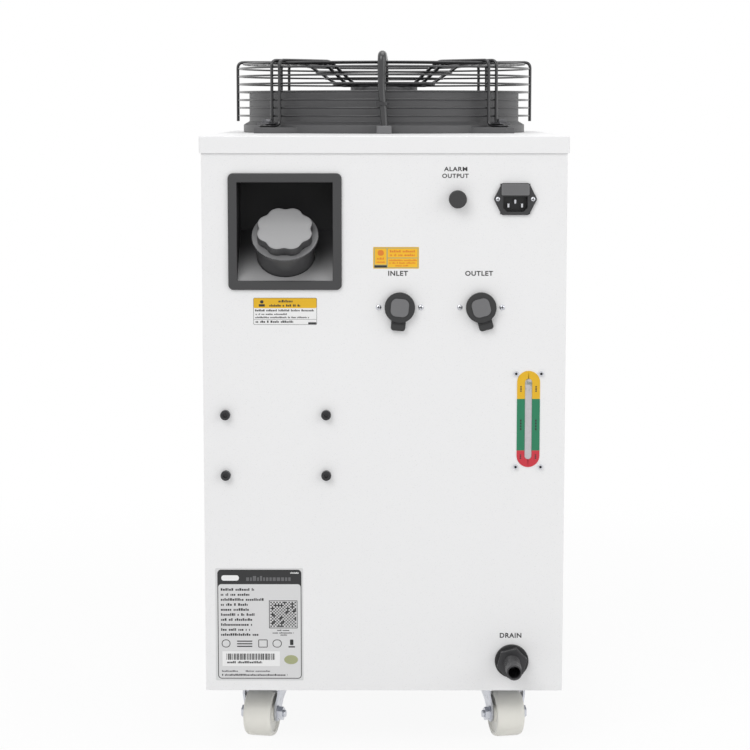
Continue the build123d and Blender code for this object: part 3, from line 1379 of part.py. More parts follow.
def water_hoses():
    """Hoses between tank, pump, evaporator, ports, gauge and drain."""
    suction_x = PUMP_X - PUMP_INLET_BESIDE
    delivery_x = PUMP_X + VOLUTE_WIDTH / 2
    delivery_z = PUMP_Z + DELIVERY_RISE
    outlet_x = PORT_X[1]
    turn_y = EVAPORATOR_FRONT_Y - SUPPLY_TURN
    gauge_y = FACE_Y + GAUGE_HOSE_DEPTH
    gauge_back = INNER_FACE_Y + GLASS_THICK
    runs = [
        (
            ((suction_x, PUMP_Y, TANK_BOTTOM), (suction_x, PUMP_Y, PUMP_Z), (PUMP_X, PUMP_Y, PUMP_Z)),
            (PUMP_INLET_BEND,),
            HOSE_R,
        ),
        (
            (
                (delivery_x, PUMP_Y, PUMP_Z + VOLUTE_R),
                (delivery_x, PUMP_Y, delivery_z),
                (delivery_x, EVAPORATOR_FRONT_Y, delivery_z),
            ),
            (DELIVERY_BEND,),
            HOSE_R,
        ),
        (
            (
                (outlet_x, PORT_END_Y, PORT_Z),
                (outlet_x, turn_y, PORT_Z),
                (outlet_x, turn_y, EVAPORATOR_PORT_Z),
                (outlet_x, EVAPORATOR_FRONT_Y, EVAPORATOR_PORT_Z),
            ),
            (SUPPLY_BEND, SUPPLY_BEND),
            HOSE_R,
        ),
    ]
    for z in (GAUGE_Z - GAUGE_HOSE_SPREAD, GAUGE_Z + GAUGE_HOSE_SPREAD):
        line = ((GAUGE_X, gauge_back, z), (GAUGE_X, gauge_y, z), (TANK_RIGHT, gauge_y, z))
        runs.append((line, (GAUGE_BEND,), THIN_HOSE_R))
    drain_y = INNER_FACE_Y + DRAIN_INSIDE
    run_y = TANK_FRONT_Y + HOSE_R + DRAIN_HOSE_GAP
    tank_x = TANK_RIGHT - DRAIN_HOSE_BESIDE
    drain = (
        (DRAIN_X, drain_y, DRAIN_Z),
        (DRAIN_X, run_y, DRAIN_Z),
        (tank_x, run_y, DRAIN_Z),
        (tank_x, run_y, TANK_BOTTOM),
    )
    runs.append((drain, (DRAIN_BEND,) * 2, HOSE_R))
    return Part() + [tube_run(points, bends, radius) for points, bends, radius in runs]


def all_pieces():
    """Every node's name and shape."""
    pieces = {
        "base_pan": base_pan(),
        "service_panel": service_panel(),
        "control_panel": control_panel(),
        "side_panel_left": side_panel(-1),
        "side_panel_right": side_panel(1),
        "top_lid": top_lid(),
        "filler_recess": filler_recess(),
        "filler_neck": filler_neck(),
        "cap_seal": cap_seal(),
        "filler_cap": filler_cap(),
        "drain_spout": drain_spout(),
        "drain_washer": drain_washer(),
        "drain_nut": drain_nut(),
        "alarm_socket": alarm_socket(),
        "alarm_cap": alarm_cap(),
        "power_inlet": power_inlet(),
        "inlet_pins": inlet_pins(),
        "fuse_drawer": fuse_drawer(),
        "level_scale": level_scale(),
        "level_glass": level_glass(),
        "bracket_screws": bracket_screws(),
        "fan_shroud": fan_shroud(),
        "fan_motor": fan_motor(),
        "fan_impeller": fan_impeller(),
        **guard_sections(),
        "guard_clamps": guard_clamps(),
        "fan_cable": fan_cable(),
        "cable_tie": cable_tie(),
        "cable_grommet": cable_grommet(),
        "controller": controller(),
        "rocker_frame": rocker_frame(),
        "power_rocker": power_rocker(),
        "castor_plates": castor_plates(),
        "tank_bracket": tank_bracket(),
        "water_tank": water_tank(),
        "compressor": compressor(),
        "condenser": condenser(),
        "plate_evaporator": plate_evaporator(),
        "circulation_pump": circulation_pump(),
        "filter_drier": filter_drier(),
        "copper_pipes": copper_pipes(),
        "water_hoses": water_hoses(),
    }
    for name, x, turn in zip(("inlet", "outlet"), PORT_X, PLUG_TURN):
        pieces[f"{name}_port"] = water_port(x)
        pieces[f"{name}_plug"] = port_plug(x, turn)
    for i in range(KEYS):
        pieces[f"control_key_{i + 1}"] = control_key(i)
    fork, wheel = castor_fork(), castor_wheel()
    for name, x, y, turn in castor_spots():
        place = Pos(x, y, 0) * Rot(0, 0, turn)
        pieces[f"castor_fork_{name}"] = place * (fork + castor_axle(-1 if x > 0 else 1))
        pieces[f"castor_wheel_{name}"] = place * wheel
    return pieces


os.makedirs("parts", exist_ok=True)
for node, shape in all_pieces().items():
    export_step(Pos(0, FRAME_Y, 0) * shape, f"parts/{node}.step")
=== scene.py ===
"""Looks of a recirculating chiller on castors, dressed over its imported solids.

Sizes are in millimetres, on places whose Z axis points out of the surface they
lie on, and each finished piece is written in metres in the row frame.
"""

import json
import logging
import math
import random
from dataclasses import dataclass
from enum import Enum
from functools import lru_cache
from typing import Callable, Iterable, Sequence

import bmesh
import bpy
from bmesh.types import BMEdge, BMFace, BMVert
from mathutils import Matrix, Vector


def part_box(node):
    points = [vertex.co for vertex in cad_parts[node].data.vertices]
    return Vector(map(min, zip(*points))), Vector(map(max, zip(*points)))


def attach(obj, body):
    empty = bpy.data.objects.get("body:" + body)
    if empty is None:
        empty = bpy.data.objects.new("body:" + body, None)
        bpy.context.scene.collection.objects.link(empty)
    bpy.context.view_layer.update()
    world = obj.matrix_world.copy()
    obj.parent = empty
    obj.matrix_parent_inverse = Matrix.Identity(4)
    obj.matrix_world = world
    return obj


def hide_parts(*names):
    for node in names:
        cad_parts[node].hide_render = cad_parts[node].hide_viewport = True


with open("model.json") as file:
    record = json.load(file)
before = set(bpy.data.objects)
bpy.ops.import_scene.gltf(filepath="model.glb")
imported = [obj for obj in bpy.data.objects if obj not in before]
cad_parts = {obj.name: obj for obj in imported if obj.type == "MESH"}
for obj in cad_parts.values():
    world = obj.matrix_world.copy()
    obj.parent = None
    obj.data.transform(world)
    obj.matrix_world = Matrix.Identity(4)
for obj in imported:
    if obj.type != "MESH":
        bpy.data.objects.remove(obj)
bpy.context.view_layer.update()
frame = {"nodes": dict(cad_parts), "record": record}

MM = 0.001
BEHAVIOUR = frame["record"]["behaviour"]
BODY_OF = {node: body for body, members in BEHAVIOUR["bodies"].items() for node in members}
HERE = Matrix.Identity(4)
DOUBLES = 0.002
FLAT = math.radians(0.3)
SHARP = math.radians(38)
WHITE_LIGHT = (1.0, 1.0, 1.0)
Colour = tuple[float, float, float]
Point = tuple[float, float, float]
Span = tuple[float, float]
log = logging.getLogger("chiller")


def corner(node: str, high: bool) -> Vector:
    """Read one corner of a node's box in millimetres, the highest or the lowest."""
    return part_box(node)[1 if high else 0] / MM


def framed(origin: Sequence[float], right: Sequence[float], out: Sequence[float]) -> Matrix:
    """Make a place from its origin, its X axis and its Z axis.

    Args:
        origin: The place's origin in millimetres.
        right: The direction of the place's X axis.
        out: The direction of the place's Z axis.

    Returns:
        The matrix from the place to the row frame.
    """
    z, x = Vector(out).normalized(), Vector(right).normalized()
    turn = Matrix((x, z.cross(x), z)).transposed().to_4x4()
    return Matrix.Translation(Vector(origin)) @ turn


def spot(x: float, y: float, z: float = 0.0, turn: float = 0.0) -> Matrix:
    """Move to a point of a place and turn there about Z by an angle in degrees."""
    return Matrix.Translation((x, y, z)) @ Matrix.Rotation(math.radians(turn), 4, "Z")


def rounded(points: Sequence[Sequence[float]], radius: float, steps: int = 6) -> list[Vector]:
    """Round the inner corners of a path.

    Args:
        points: The path's corner points.
        radius: How far each bend reaches along its two runs.
        steps: The number of short runs in each bend.

    Returns:
        The points of the rounded path.
    """
    line = [Vector(point) for point in points]
    path = [line[0]]
    for before, bend, after in zip(line, line[1:], line[2:]):
        reach = min(radius, 0.49 * (before - bend).length, 0.49 * (after - bend).length)
        start = bend + (before - bend).normalized() * reach
        end = bend + (after - bend).normalized() * reach
        for i in range(steps + 1):
            t = i / steps
            path.append(start * (1 - t) ** 2 + bend * 2 * t * (1 - t) + end * t**2)
    return [*path, line[-1]]


def as_mesh(curve: bpy.types.Curve) -> bpy.types.Mesh:
    """Turn a curve or a text into a mesh.

    Args:
        curve: The curve's data.

    Returns:
        The mesh, with nothing left in the scene.
    """
    source = bpy.data.objects.new(curve.name, curve)
    bpy.context.scene.collection.objects.link(source)
    bpy.context.view_layer.update()
    data = bpy.data.meshes.new_from_object(source.evaluated_get(bpy.context.evaluated_depsgraph_get()))
    bpy.data.objects.remove(source)
    return data


class Wire:
    """A number socket of a node tree, on which arithmetic adds Math nodes."""

    def __init__(self, tree: "Tree", socket: bpy.types.NodeSocket) -> None:
        """Keep the socket and the tree that its nodes go into."""
        self.tree = tree
        self.socket = socket

    def math(self, operation: str, *others: "Wire | float") -> "Wire":
        """Feed this value and others to a Math node.

        Args:
            operation: The Math node's operation.
            others: The values of its further sockets.

        Returns:
            The node's result.
        """
        values = dict(enumerate((self, *others)))
        node = self.tree.node("ShaderNodeMath", {"operation": operation}, values)
        return Wire(self.tree, node.outputs[0])

    def __add__(self, other: "Wire | float") -> "Wire":
        """Add."""
        return self.math("ADD", other)

    def __mul__(self, other: "Wire | float") -> "Wire":
        """Multiply."""
        return self.math("MULTIPLY", other)

    def __sub__(self, other: "Wire | float") -> "Wire":
        """Subtract."""
        return self.math("SUBTRACT", other)

    def __rsub__(self, other: float) -> "Wire":
        """Subtract this value from a number."""
        return self * -1.0 + other

    __radd__ = __add__
    __rmul__ = __mul__

    def above(self, limit: float, soft: float) -> "Wire":
        """Make a mask that rises from 0 to 1 past a limit.

        Args:
            limit: Where the mask leaves 0.
            soft: How far past the limit it reaches 1.

        Returns:
            The mask.
        """
        ranged = {"Value": self, "From Min": limit, "From Max": limit + soft}
        node = self.tree.node("ShaderNodeMapRange", {"interpolation_type": "SMOOTHSTEP"}, ranged)
        return Wire(self.tree, node.outputs[0])


class Tree:
    """A node tree, to which one method adds every node."""

    def __init__(self, tree: bpy.types.NodeTree) -> None:
        """Keep the tree."""
        self.tree = tree

    def node(self, kind: str, settings: dict | None = None, sockets: dict | None = None) -> bpy.types.Node:
        """Add a node.

        Args:
            kind: The node's type.
            settings: Its properties, such as a Math node's operation.
            sockets: The values or links of its inputs, by name or number.

        Returns:
            The new node.
        """
        made = self.tree.nodes.new(kind)
        for key, value in (settings or {}).items():
            setattr(made, key, value)
        for key, value in (sockets or {}).items():
            self.feed(made.inputs[key], value)
        return made

    def feed(self, entry: bpy.types.NodeSocket, value: object) -> None:
        """Link a source to an input, or set a value on it.

        Args:
            entry: The input.
            value: A wire, a socket, a colour or a number.
        """
        source = value.socket if isinstance(value, Wire) else value
        if isinstance(source, bpy.types.NodeSocket):
            self.tree.links.new(source, entry)
        else:
            entry.default_value = (*source, 1.0) if entry.type == "RGBA" else source

    def seen(self) -> Wire:
        """Add a mask that is 1 for camera, glossy and transmission rays.

        Returns:
            The mask.
        """
        rays = self.node("ShaderNodeLightPath").outputs
        camera, glossy = Wire(self, rays["Is Camera Ray"]), Wire(self, rays["Is Glossy Ray"])
        return camera.math("MAXIMUM", glossy).math("MAXIMUM", Wire(self, rays["Is Transmission Ray"]))


class Recipe(Tree):
    """One material and the nodes of its pattern."""

    def __init__(self, name: str) -> None:
        """Start a material that holds a Principled shader alone.

        Args:
            name: The material's name.
        """
        self.material = bpy.data.materials.new(name)
        self.material.use_nodes = True
        super().__init__(self.material.node_tree)
        self.shader = self.tree.nodes["Principled BSDF"]
        self.coords = self.node("ShaderNodeTexCoord").outputs["Object"]

    def noise(self, scale: float, detail: float = 2.0, stretch: Point = (1.0, 1.0, 1.0)) -> Wire:
        """Add a noise pattern on object coordinates.

        Args:
            scale: Features in a metre.
            detail: How many finer layers it holds.
            stretch: How the coordinates are scaled along each axis.

        Returns:
            The pattern, from 0 to 1.
        """
        place = self.node("ShaderNodeMapping", None, {"Vector": self.coords, "Scale": stretch})
        sockets = {"Vector": place.outputs[0], "Scale": scale, "Detail": detail}
        return Wire(self, self.node("ShaderNodeTexNoise", None, sockets).outputs["Fac"])

    def cells(self, scale: float) -> Wire:
        """Add small cells on object coordinates, as the distance to each one's middle."""
        sockets = {"Vector": self.coords, "Scale": scale}
        return Wire(self, self.node("ShaderNodeTexVoronoi", None, sockets).outputs["Distance"])

    def axis(self, name: str) -> Wire:
        """Read one object coordinate, X, Y or Z."""
        split = self.node("ShaderNodeSeparateXYZ", None, {"Vector": self.coords})
        return Wire(self, split.outputs[name])

    def blend(self, mask: Wire, low: object, high: object) -> bpy.types.NodeSocket:
        """Mix two colours, or their sockets, by a mask that is 0 for the first."""
        settings = {"data_type": "RGBA", "clamp_factor": True}
        return self.node("ShaderNodeMix", settings, {0: mask, 6: low, 7: high}).outputs[2]

    def bump(self, height: Wire, strength: float, distance: float) -> bpy.types.NodeSocket:
        """Turn a height pattern into a normal; distance is the height of 1 in millimetres."""
        sockets = {"Height": height, "Strength": strength, "Distance": distance * MM}
        return self.node("ShaderNodeBump", None, sockets).outputs["Normal"]


Pattern = tuple[bpy.types.NodeSocket, Wire, bpy.types.NodeSocket]


def toned(colour: Colour, share: float) -> Colour:
    """Scale a colour's channels by a share."""
    return tuple(min(1.0, c * share) for c in colour)


@dataclass(frozen=True)
class Finish:
    """A surface finish and the numbers of its pattern."""

    name: str
    colour: Colour
    roughness: float = 0.5
    metallic: float = 0.0
    coat: float = 0.0
    grain: float = 900.0
    relief: float = 0.03
    spread: float = 0.06

    @lru_cache(maxsize=None)
    def material(self) -> bpy.types.Material:
        """Build the material once.

        Returns:
            The material.
        """
        recipe = Recipe(self.name)
        colour, roughness, normal = self.pattern(recipe)
        sockets = {"Metallic": self.metallic, "Coat Weight": self.coat}
        sockets |= {"Base Color": colour, "Roughness": roughness, "Normal": normal}
        for name, value in sockets.items():
            recipe.feed(recipe.shader.inputs[name], value)
        return recipe.material

    def clouded(self, recipe: Recipe, clouds: Wire) -> bpy.types.NodeSocket:
        """Vary the colour from cloud to cloud by the finish's spread."""
        return recipe.blend(clouds, toned(self.colour, 1 - self.spread), toned(self.colour, 1 + self.spread))

    def pattern(self, recipe: Recipe) -> Pattern:
        """Lay clouded colour, uneven gloss and a fine grain.

        Args:
            recipe: The material in the making.

        Returns:
            What feeds its colour, its roughness and its normal.
        """
        clouds, grain = recipe.noise(14.0, 3.0), recipe.noise(self.grain, 2.0)
        gloss = clouds * 0.1 + grain * 0.06 + (self.roughness - 0.08)
        return self.clouded(recipe, clouds), gloss, recipe.bump(grain, 0.6, self.relief)


@dataclass(frozen=True)
class PowderCoat(Finish):
    """Baked powder paint with orange peel and a few specks."""

    peel: float = 420.0

    def pattern(self, recipe: Recipe) -> Pattern:
        """Lay the peel's soft waves, fine grain, faint clouds and specks.

        Args:
            recipe: The material in the making.

        Returns:
            What feeds its colour, its roughness and its normal.
        """
        clouds, peel, grain = recipe.noise(5.0, 3.0), recipe.noise(self.peel, 1.0), recipe.noise(2400.0, 1.0)
        specks = recipe.noise(1300.0, 0.0).above(0.74, 0.02)
        paint = recipe.blend(specks * 0.35, self.clouded(recipe, clouds), toned(self.colour, 0.72))
        gloss = clouds * 0.06 + peel * 0.08 + (self.roughness - 0.07)
        return paint, gloss, recipe.bump(peel * 0.75 + grain * 0.25, 0.5, self.relief)


@dataclass(frozen=True)
class Moulded(Finish):
    """Moulded plastic or rubber with a spark-eroded grain and paler scuffs."""

    scuff: float = 0.12

    def pattern(self, recipe: Recipe) -> Pattern:
        """Lay the tool's pitted grain, cloudy gloss and thin scuffs.

        Args:
            recipe: The material in the making.

        Returns:
            What feeds its colour, its roughness and its normal.
        """
        clouds, pits = recipe.noise(22.0, 4.0), recipe.cells(self.grain)
        scratch = recipe.noise(90.0, 6.0, (1.0, 1.0, 6.0)).above(0.66, 0.08)
        worn = recipe.blend(scratch * self.scuff, self.clouded(recipe, clouds), toned(self.colour, 2.2))
        gloss = clouds * 0.12 - scratch * 0.05 + (self.roughness - 0.05)
        return worn, gloss, recipe.bump(pits, 0.5, self.relief)


@dataclass(frozen=True)
class Plated(Finish):
    """Plated or drawn metal with a clouded tint and fine draw lines."""

    tint: Colour = (0.60, 0.62, 0.68)
    draw: Point = (1.0, 1.0, 0.12)

    def pattern(self, recipe: Recipe) -> Pattern:
        """Lay draw lines, tinted clouds and dull patches.

        Args:
            recipe: The material in the making.

        Returns:
            What feeds its colour, its roughness and its normal.
        """
        clouds, lines = recipe.noise(60.0, 4.0), recipe.noise(self.grain, 2.0, self.draw)
        dull = recipe.noise(140.0, 5.0).above(0.52, 0.2)
        metal = recipe.blend(clouds, self.colour, self.tint)
        worn = recipe.blend(dull * 0.35, metal, toned(self.colour, 0.6))
        gloss = lines * 0.16 + dull * 0.12 + (self.roughness - 0.12)
        return worn, gloss, recipe.bump(lines, 0.35, self.relief)


@dataclass(frozen=True)
class Level(Finish):
    """A milky sight tube: damp green-grey at its top, paler below."""

    top: float = 0.4
    wet: Colour = (0.16, 0.20, 0.17)

    def pattern(self, recipe: Recipe) -> Pattern:
        """Lay the speckled film at the top over a cloudy body.

        Args:
            recipe: The material in the making.

        Returns:
            What feeds its colour, its roughness and its normal.
        """
        speckle = recipe.noise(260.0, 5.0)
        film = recipe.axis("Z").above(self.top - 0.022, 0.02) * speckle.above(0.42, 0.2)
        body = recipe.blend(recipe.noise(70.0, 3.0), toned(self.colour, 0.93), toned(self.colour, 1.05))
        gloss = speckle * 0.15 + (self.roughness - 0.07)
        return recipe.blend(film, body, self.wet), gloss, recipe.bump(speckle, 0.3, self.relief)


@dataclass(frozen=True)
class Finned(Finish):
    """A block of thin upright fins, seen as fine light lines with painted shade between them."""

    pitch: float = 420.0

    def pattern(self, recipe: Recipe) -> Pattern:
        """Lay upright fins with painted shade between them.

        Args:
            recipe: The material in the making.

        Returns:
            What feeds its colour, its roughness and its normal.
        """
        # Painted shade: the wave darkens the colour in the gaps between the fins.
        wave = (recipe.axis("X") * (self.pitch * math.tau)).math("SINE") * 0.5 + 0.5
        gloss = recipe.noise(40.0, 5.0) * 0.3 + (self.roughness - 0.15)
        return recipe.blend(wave, toned(self.colour, 0.35), self.colour), gloss, recipe.bump(wave, 0.8, 0.6)


@dataclass(frozen=True)
class PaintedLightSlope(Finish):
    """A dark moulded slope with painted light, paler towards its front edge where light falls."""

    # Painted light: the tone at the front edge, where it starts along -Y and how far it reaches, in metres.
    front: Colour = (0.36, 0.36, 0.365)
    start: float = 0.235
    reach: float = 0.036

    def pattern(self, recipe: Recipe) -> Pattern:
        """Lay the painted light, a change of tone towards -Y, over a fine grain.

        Args:
            recipe: The material in the making.

        Returns:
            What feeds its colour, its roughness and its normal.
        """
        # Painted light: this mask pales the slope towards its front edge.
        pale = (recipe.axis("Y") * -1.0).above(self.start, self.reach)
        grain = recipe.noise(self.grain, 2.0)
        gloss = grain * 0.1 + (self.roughness - 0.05)
        return recipe.blend(pale, self.colour, self.front), gloss, recipe.bump(grain, 0.5, self.relief)


WHITE = PowderCoat("white_powder_coat", (0.875, 0.875, 0.88), 0.42, relief=0.02, spread=0.012)
GREY_SHEET = PowderCoat("galvanised_sheet", (0.42, 0.43, 0.44), 0.45, metallic=0.6, relief=0.02, spread=0.1)
FAN_PAINT = PowderCoat("dark_fan_paint", (0.092, 0.092, 0.095), 0.42, relief=0.03, spread=0.08)
WIRE_PAINT = PowderCoat("black_dipped_wire", (0.022, 0.022, 0.024), 0.3, coat=0.35, relief=0.02, spread=0.15)
MOTOR_PAINT = PowderCoat("grey_motor_paint", (0.14, 0.14, 0.145), 0.4, relief=0.03, spread=0.1)
BEZEL = Moulded("dark_grey_plastic", (0.042, 0.042, 0.044), 0.42, grain=1500.0, relief=0.03)
# Near black: painted shade inside the filler recess and the port plugs' hollows; the plugs' ridges also take
# it.
BLACK_AND_RECESS_SHADE = Moulded("black_and_painted_recess_shade", (0.008, 0.008, 0.009), 0.7, grain=1500.0, relief=0.03)
# Painted light on the filler recess's sloping floor.
SLOPE_PAINTED_LIGHT = PaintedLightSlope("recess_slope_painted_light", (0.03, 0.03, 0.032), 0.5, grain=1500.0, relief=0.03)
NECK = Moulded("neck_plastic", (0.05, 0.05, 0.052), 0.3, grain=1200.0, relief=0.01)
# A painted highlight: the paler top ring of the filler neck's rim.
RIM_HIGHLIGHT = Moulded("rim_painted_highlight", (0.22, 0.22, 0.225), 0.34, grain=1200.0, relief=0.01)
CAP = Moulded("grey_cap_plastic", (0.36, 0.36, 0.365), 0.48, grain=1600.0, relief=0.02, scuff=0.05)
BLACK = Moulded("black_plastic", (0.028, 0.028, 0.03), 0.36, grain=1300.0, relief=0.03)
RUBBER = Moulded("black_rubber", (0.022, 0.022, 0.023), 0.5, grain=900.0, relief=0.05)
KNURL = Moulded("grained_rubber", (0.035, 0.035, 0.036), 0.62, grain=650.0, relief=0.25)
SLEEVE = Moulded("cable_sleeve", (0.03, 0.03, 0.032), 0.24, coat=0.3, grain=700.0, relief=0.05)
GREY_PLASTIC = Moulded("grey_plastic", (0.16, 0.16, 0.165), 0.5, grain=1400.0, relief=0.04)
NYLON = Moulded("cream_nylon", (0.93, 0.915, 0.85), 0.36, grain=500.0, relief=0.03, spread=0.05, scuff=0.06)
MILKY = Moulded("milky_tank_plastic", (0.7, 0.7, 0.64), 0.4, grain=600.0, relief=0.03)
ZINC = Plated("bright_zinc", (0.66, 0.67, 0.7), 0.34, metallic=0.9, relief=0.02)
STEEL = Plated("polished_screw_steel", (0.62, 0.62, 0.63), 0.24, metallic=1.0, relief=0.01)
DARK_STEEL = Plated("dark_bolt_steel", (0.11, 0.11, 0.115), 0.34, metallic=0.8, tint=(0.16, 0.16, 0.17))
# Black oxide on the bracket screws, and painted shade in the cross drives of the port and inlet screws.
OXIDE_AND_DRIVE_SHADE = Plated("black_oxide_and_painted_drive_shade", (0.02, 0.02, 0.021), 0.34, metallic=0.3, tint=(0.04, 0.04, 0.045))
COPPER = Plated("drawn_copper", (0.72, 0.38, 0.24), 0.32, metallic=1.0, tint=(0.55, 0.28, 0.17))
# The condenser's fins, with painted shade in the gaps between them.
FINS = Finned("finned_aluminium_painted_gap_shade", (0.55, 0.56, 0.57), 0.45, metallic=0.8)
INK = Finish("black_ink", (0.02, 0.02, 0.021), 0.55, grain=2500.0, relief=0.004)
GREY_INK = Finish("grey_ink", (0.12, 0.12, 0.125), 0.5, grain=2500.0, relief=0.004)
SILVER_FILM = Finish("silver_film", (0.7, 0.7, 0.705), 0.36, grain=1800.0, relief=0.006, spread=0.015)
WHITE_FILM = Finish("white_film", (0.86, 0.86, 0.86), 0.4, grain=1800.0, relief=0.006, spread=0.015)
YELLOW_FILM = Finish("yellow_film", (0.78, 0.46, 0.012), 0.4, grain=1800.0, relief=0.006, spread=0.04)
AMBER_FILM = Finish("amber_film", (0.9, 0.5, 0.02), 0.4, grain=1800.0, relief=0.006, spread=0.04)
ORANGE_INK = Finish("orange_ink", (0.75, 0.22, 0.02), 0.5, grain=2500.0, relief=0.004)
GREEN_FILM = Finish("green_film", (0.012, 0.2, 0.095), 0.4, grain=1800.0, relief=0.006, spread=0.06)
RED_FILM = Finish("red_film", (0.6, 0.03, 0.05), 0.4, grain=1800.0, relief=0.006, spread=0.08)
OLIVE_FILM = Finish("olive_sticker", (0.38, 0.4, 0.22), 0.35, grain=1800.0, relief=0.01, spread=0.12)
SCREEN = Finish("dark_screen", (0.008, 0.009, 0.011), 0.16, coat=0.5, grain=2500.0, relief=0.002)
SIGHT = Level("sight_tube", (0.56, 0.54, 0.56), 0.28)


class Shape:
    """A mesh in the making, in millimetres on a place of its own."""

    def __init__(self, at: Matrix = HERE) -> None:
        """Start empty on a place.

        Args:
            at: The place, in the row frame.
        """
        self.mesh = bmesh.new()
        self.at = at
        self.ink = 0

    @classmethod
    def of_node(cls, node: str) -> "Shape":
        """Copy a node's solid, with its loose triangles merged into flat faces.

        Args:
            node: The node's name.

        Returns:
            The copy, in the row frame.
        """
        shape = cls()
        mesh = shape.mesh
        mesh.from_mesh(frame["nodes"][node].data)
        bmesh.ops.scale(mesh, vec=(1 / MM,) * 3, verts=mesh.verts)
        bmesh.ops.remove_doubles(mesh, verts=mesh.verts, dist=DOUBLES)
        bmesh.ops.dissolve_limit(mesh, angle_limit=FLAT, verts=mesh.verts, edges=mesh.edges, delimit=set())
        return shape

    def _inked(self, faces: Iterable[BMFace]) -> list[BMFace]:
        """Give new faces the finish that is in use.

        Args:
            faces: The faces.

        Returns:
            The same faces, with their normals worked out.
        """
        faces = list(faces)
        for face in faces:
            face.material_index = self.ink
            face.normal_update()
        return faces

    def disc(self, radius: float, place: Matrix = HERE, steps: int = 64) -> BMFace:
        """Start a flat disc, or a hexagon with 6 steps.

        Args:
            radius: Its radius to the corners.
            place: Where its middle lies.
            steps: The number of its corners.

        Returns:
            Its face.
        """
        before = set(self.mesh.faces)
        bmesh.ops.create_circle(self.mesh, cap_ends=True, segments=steps, radius=radius, matrix=place)
        return self._inked(set(self.mesh.faces) - before)[0]

    def plate(self, size: Span, place: Matrix = HERE, bend: float = 0.0) -> BMFace:
        """Start a flat rectangle.

        Args:
            size: Its width and height.
            place: Where its middle lies.
            bend: The radius of its corners.

        Returns:
            Its face.
        """
        before = set(self.mesh.faces)
        made = bmesh.ops.create_grid(self.mesh, x_segments=1, y_segments=1, size=0.5)
        bmesh.ops.scale(self.mesh, vec=(*size, 1), verts=made["verts"])
        if bend:
            bmesh.ops.bevel(
                self.mesh,
                geom=made["verts"],
                offset=bend,
                offset_type="OFFSET",
                segments=8,
                profile=0.5,
                affect="VERTICES",
                material=-1,
            )
        face = (set(self.mesh.faces) - before).pop()
        bmesh.ops.transform(self.mesh, matrix=place, verts=face.verts)
        return self._inked([face])[0]

    def lift(self, face: BMFace, height: float) -> BMFace:
        """Raise a face, with walls under it.

        Args:
            face: The face to raise.
            height: How far, along its normal.

        Returns:
            The raised face.
        """
        rise = face.normal * height
        made = bmesh.ops.extrude_face_region(self.mesh, geom=[face])["geom"]
        top = next(item for item in made if isinstance(item, BMFace))
        bmesh.ops.translate(self.mesh, vec=rise, verts=top.verts)
        self._inked([top, *(f for e in top.edges for f in e.link_faces)])
        return top

    def inset(self, face: BMFace, width: float) -> BMFace:
        """Draw a frame inside a face.

        Args:
            face: The face.
            width: The frame's width.

        Returns:
            The same face, which stays as the frame's middle.
        """
        bmesh.ops.inset_region(
            self.mesh, faces=[face], thickness=width, use_boundary=True, use_even_offset=True
        )
        return face

    def sink(self, top: BMFace, hole: BMFace, depth: float) -> None:
        """Cut a blind hole into a face.

        Args:
            top: The face, which is replaced by one with a hole.
            hole: A loose face that gives the hole's outline and becomes its floor.
            depth: The hole's depth.
        """
        edges = [*top.edges, *hole.edges]
        bmesh.ops.delete(self.mesh, geom=[top], context="FACES_ONLY")
        self.lift(hole, -depth)
        bmesh.ops.bridge_loops(self.mesh, edges=edges)

    def thicken(self, height: float) -> None:
        """Make a flat shape that lies on its place a solid.

        Args:
            height: The solid's height.
        """
        made = bmesh.ops.extrude_face_region(self.mesh, geom=list(self.mesh.faces))["geom"]
        raised = [item for item in made if isinstance(item, BMVert)]
        bmesh.ops.translate(self.mesh, vec=(0, 0, height), verts=raised)

    def post(self, radius: float, low: float, high: float, place: Matrix = HERE, steps: int = 48) -> None:
        """Add an upright round post between two heights of a place."""
        self.lift(self.disc(radius, place @ spot(0, 0, low), steps), high - low)

    def slab(self, size: Span, low: float, high: float, place: Matrix = HERE) -> None:
        """Add a rectangular slab between two heights of a place."""
        self.lift(self.plate(size, place @ spot(0, 0, low)), high - low)

    def spun(self, verts: list[BMVert], edges: list[BMEdge], place: Matrix, steps: int) -> list[BMVert]:
        """Spin a half section about the place's Z axis.

        Args:
            verts: The section's points, which lie on the XZ plane.
            edges: The edges between them.
            place: The place that it turns on.
            steps: The number of flats round the axis.

        Returns:
            The corners of the new faces.
        """
        before = set(self.mesh.faces)
        geom = [*verts, *edges]
        bmesh.ops.spin(self.mesh, geom=geom, axis=(0, 0, 1), angle=math.tau, steps=steps, use_merge=True)
        faces = self._inked(face for face in self.mesh.faces if face not in before)
        around = list(dict.fromkeys(vert for face in faces for vert in face.verts))
        bmesh.ops.transform(self.mesh, matrix=place, verts=around)
        return around

    def turned(self, points: Sequence[Span], place: Matrix = HERE, steps: int = 64) -> None:
        """Turn a solid from its half section.

        Args:
            points: The closed half section, as (radius, height).
            place: The place that it turns on.
            steps: The number of flats round the axis.
        """
        verts = [self.mesh.verts.new((radius, 0.0, height)) for radius, height in points]
        pairs = zip(verts, [*verts[1:], verts[0]])
        edges = [self.mesh.edges.new(pair) for pair in pairs if max(pair[0].co.x, pair[1].co.x) > 0]
        around = self.spun(verts, edges, place, steps)
        bmesh.ops.remove_doubles(self.mesh, verts=around, dist=DOUBLES)

    def ring(self, radius: float, height: float, wire: float, steps: int = 96) -> None:
        """Add a closed ring of round wire about the Z axis.

        Args:
            radius: The radius of the wire's centre line.
            height: The height of that line.
            wire: The wire's diameter.
            steps: The number of runs in the ring.
        """
        upright = Matrix.Translation((radius, 0, height)) @ Matrix.Rotation(math.pi / 2, 4, "X")
        made = bmesh.ops.create_circle(self.mesh, segments=10, radius=wire / 2, matrix=upright)
        loop = list(dict.fromkeys(edge for vert in made["verts"] for edge in vert.link_edges))
        self.spun(made["verts"], loop, HERE, steps)

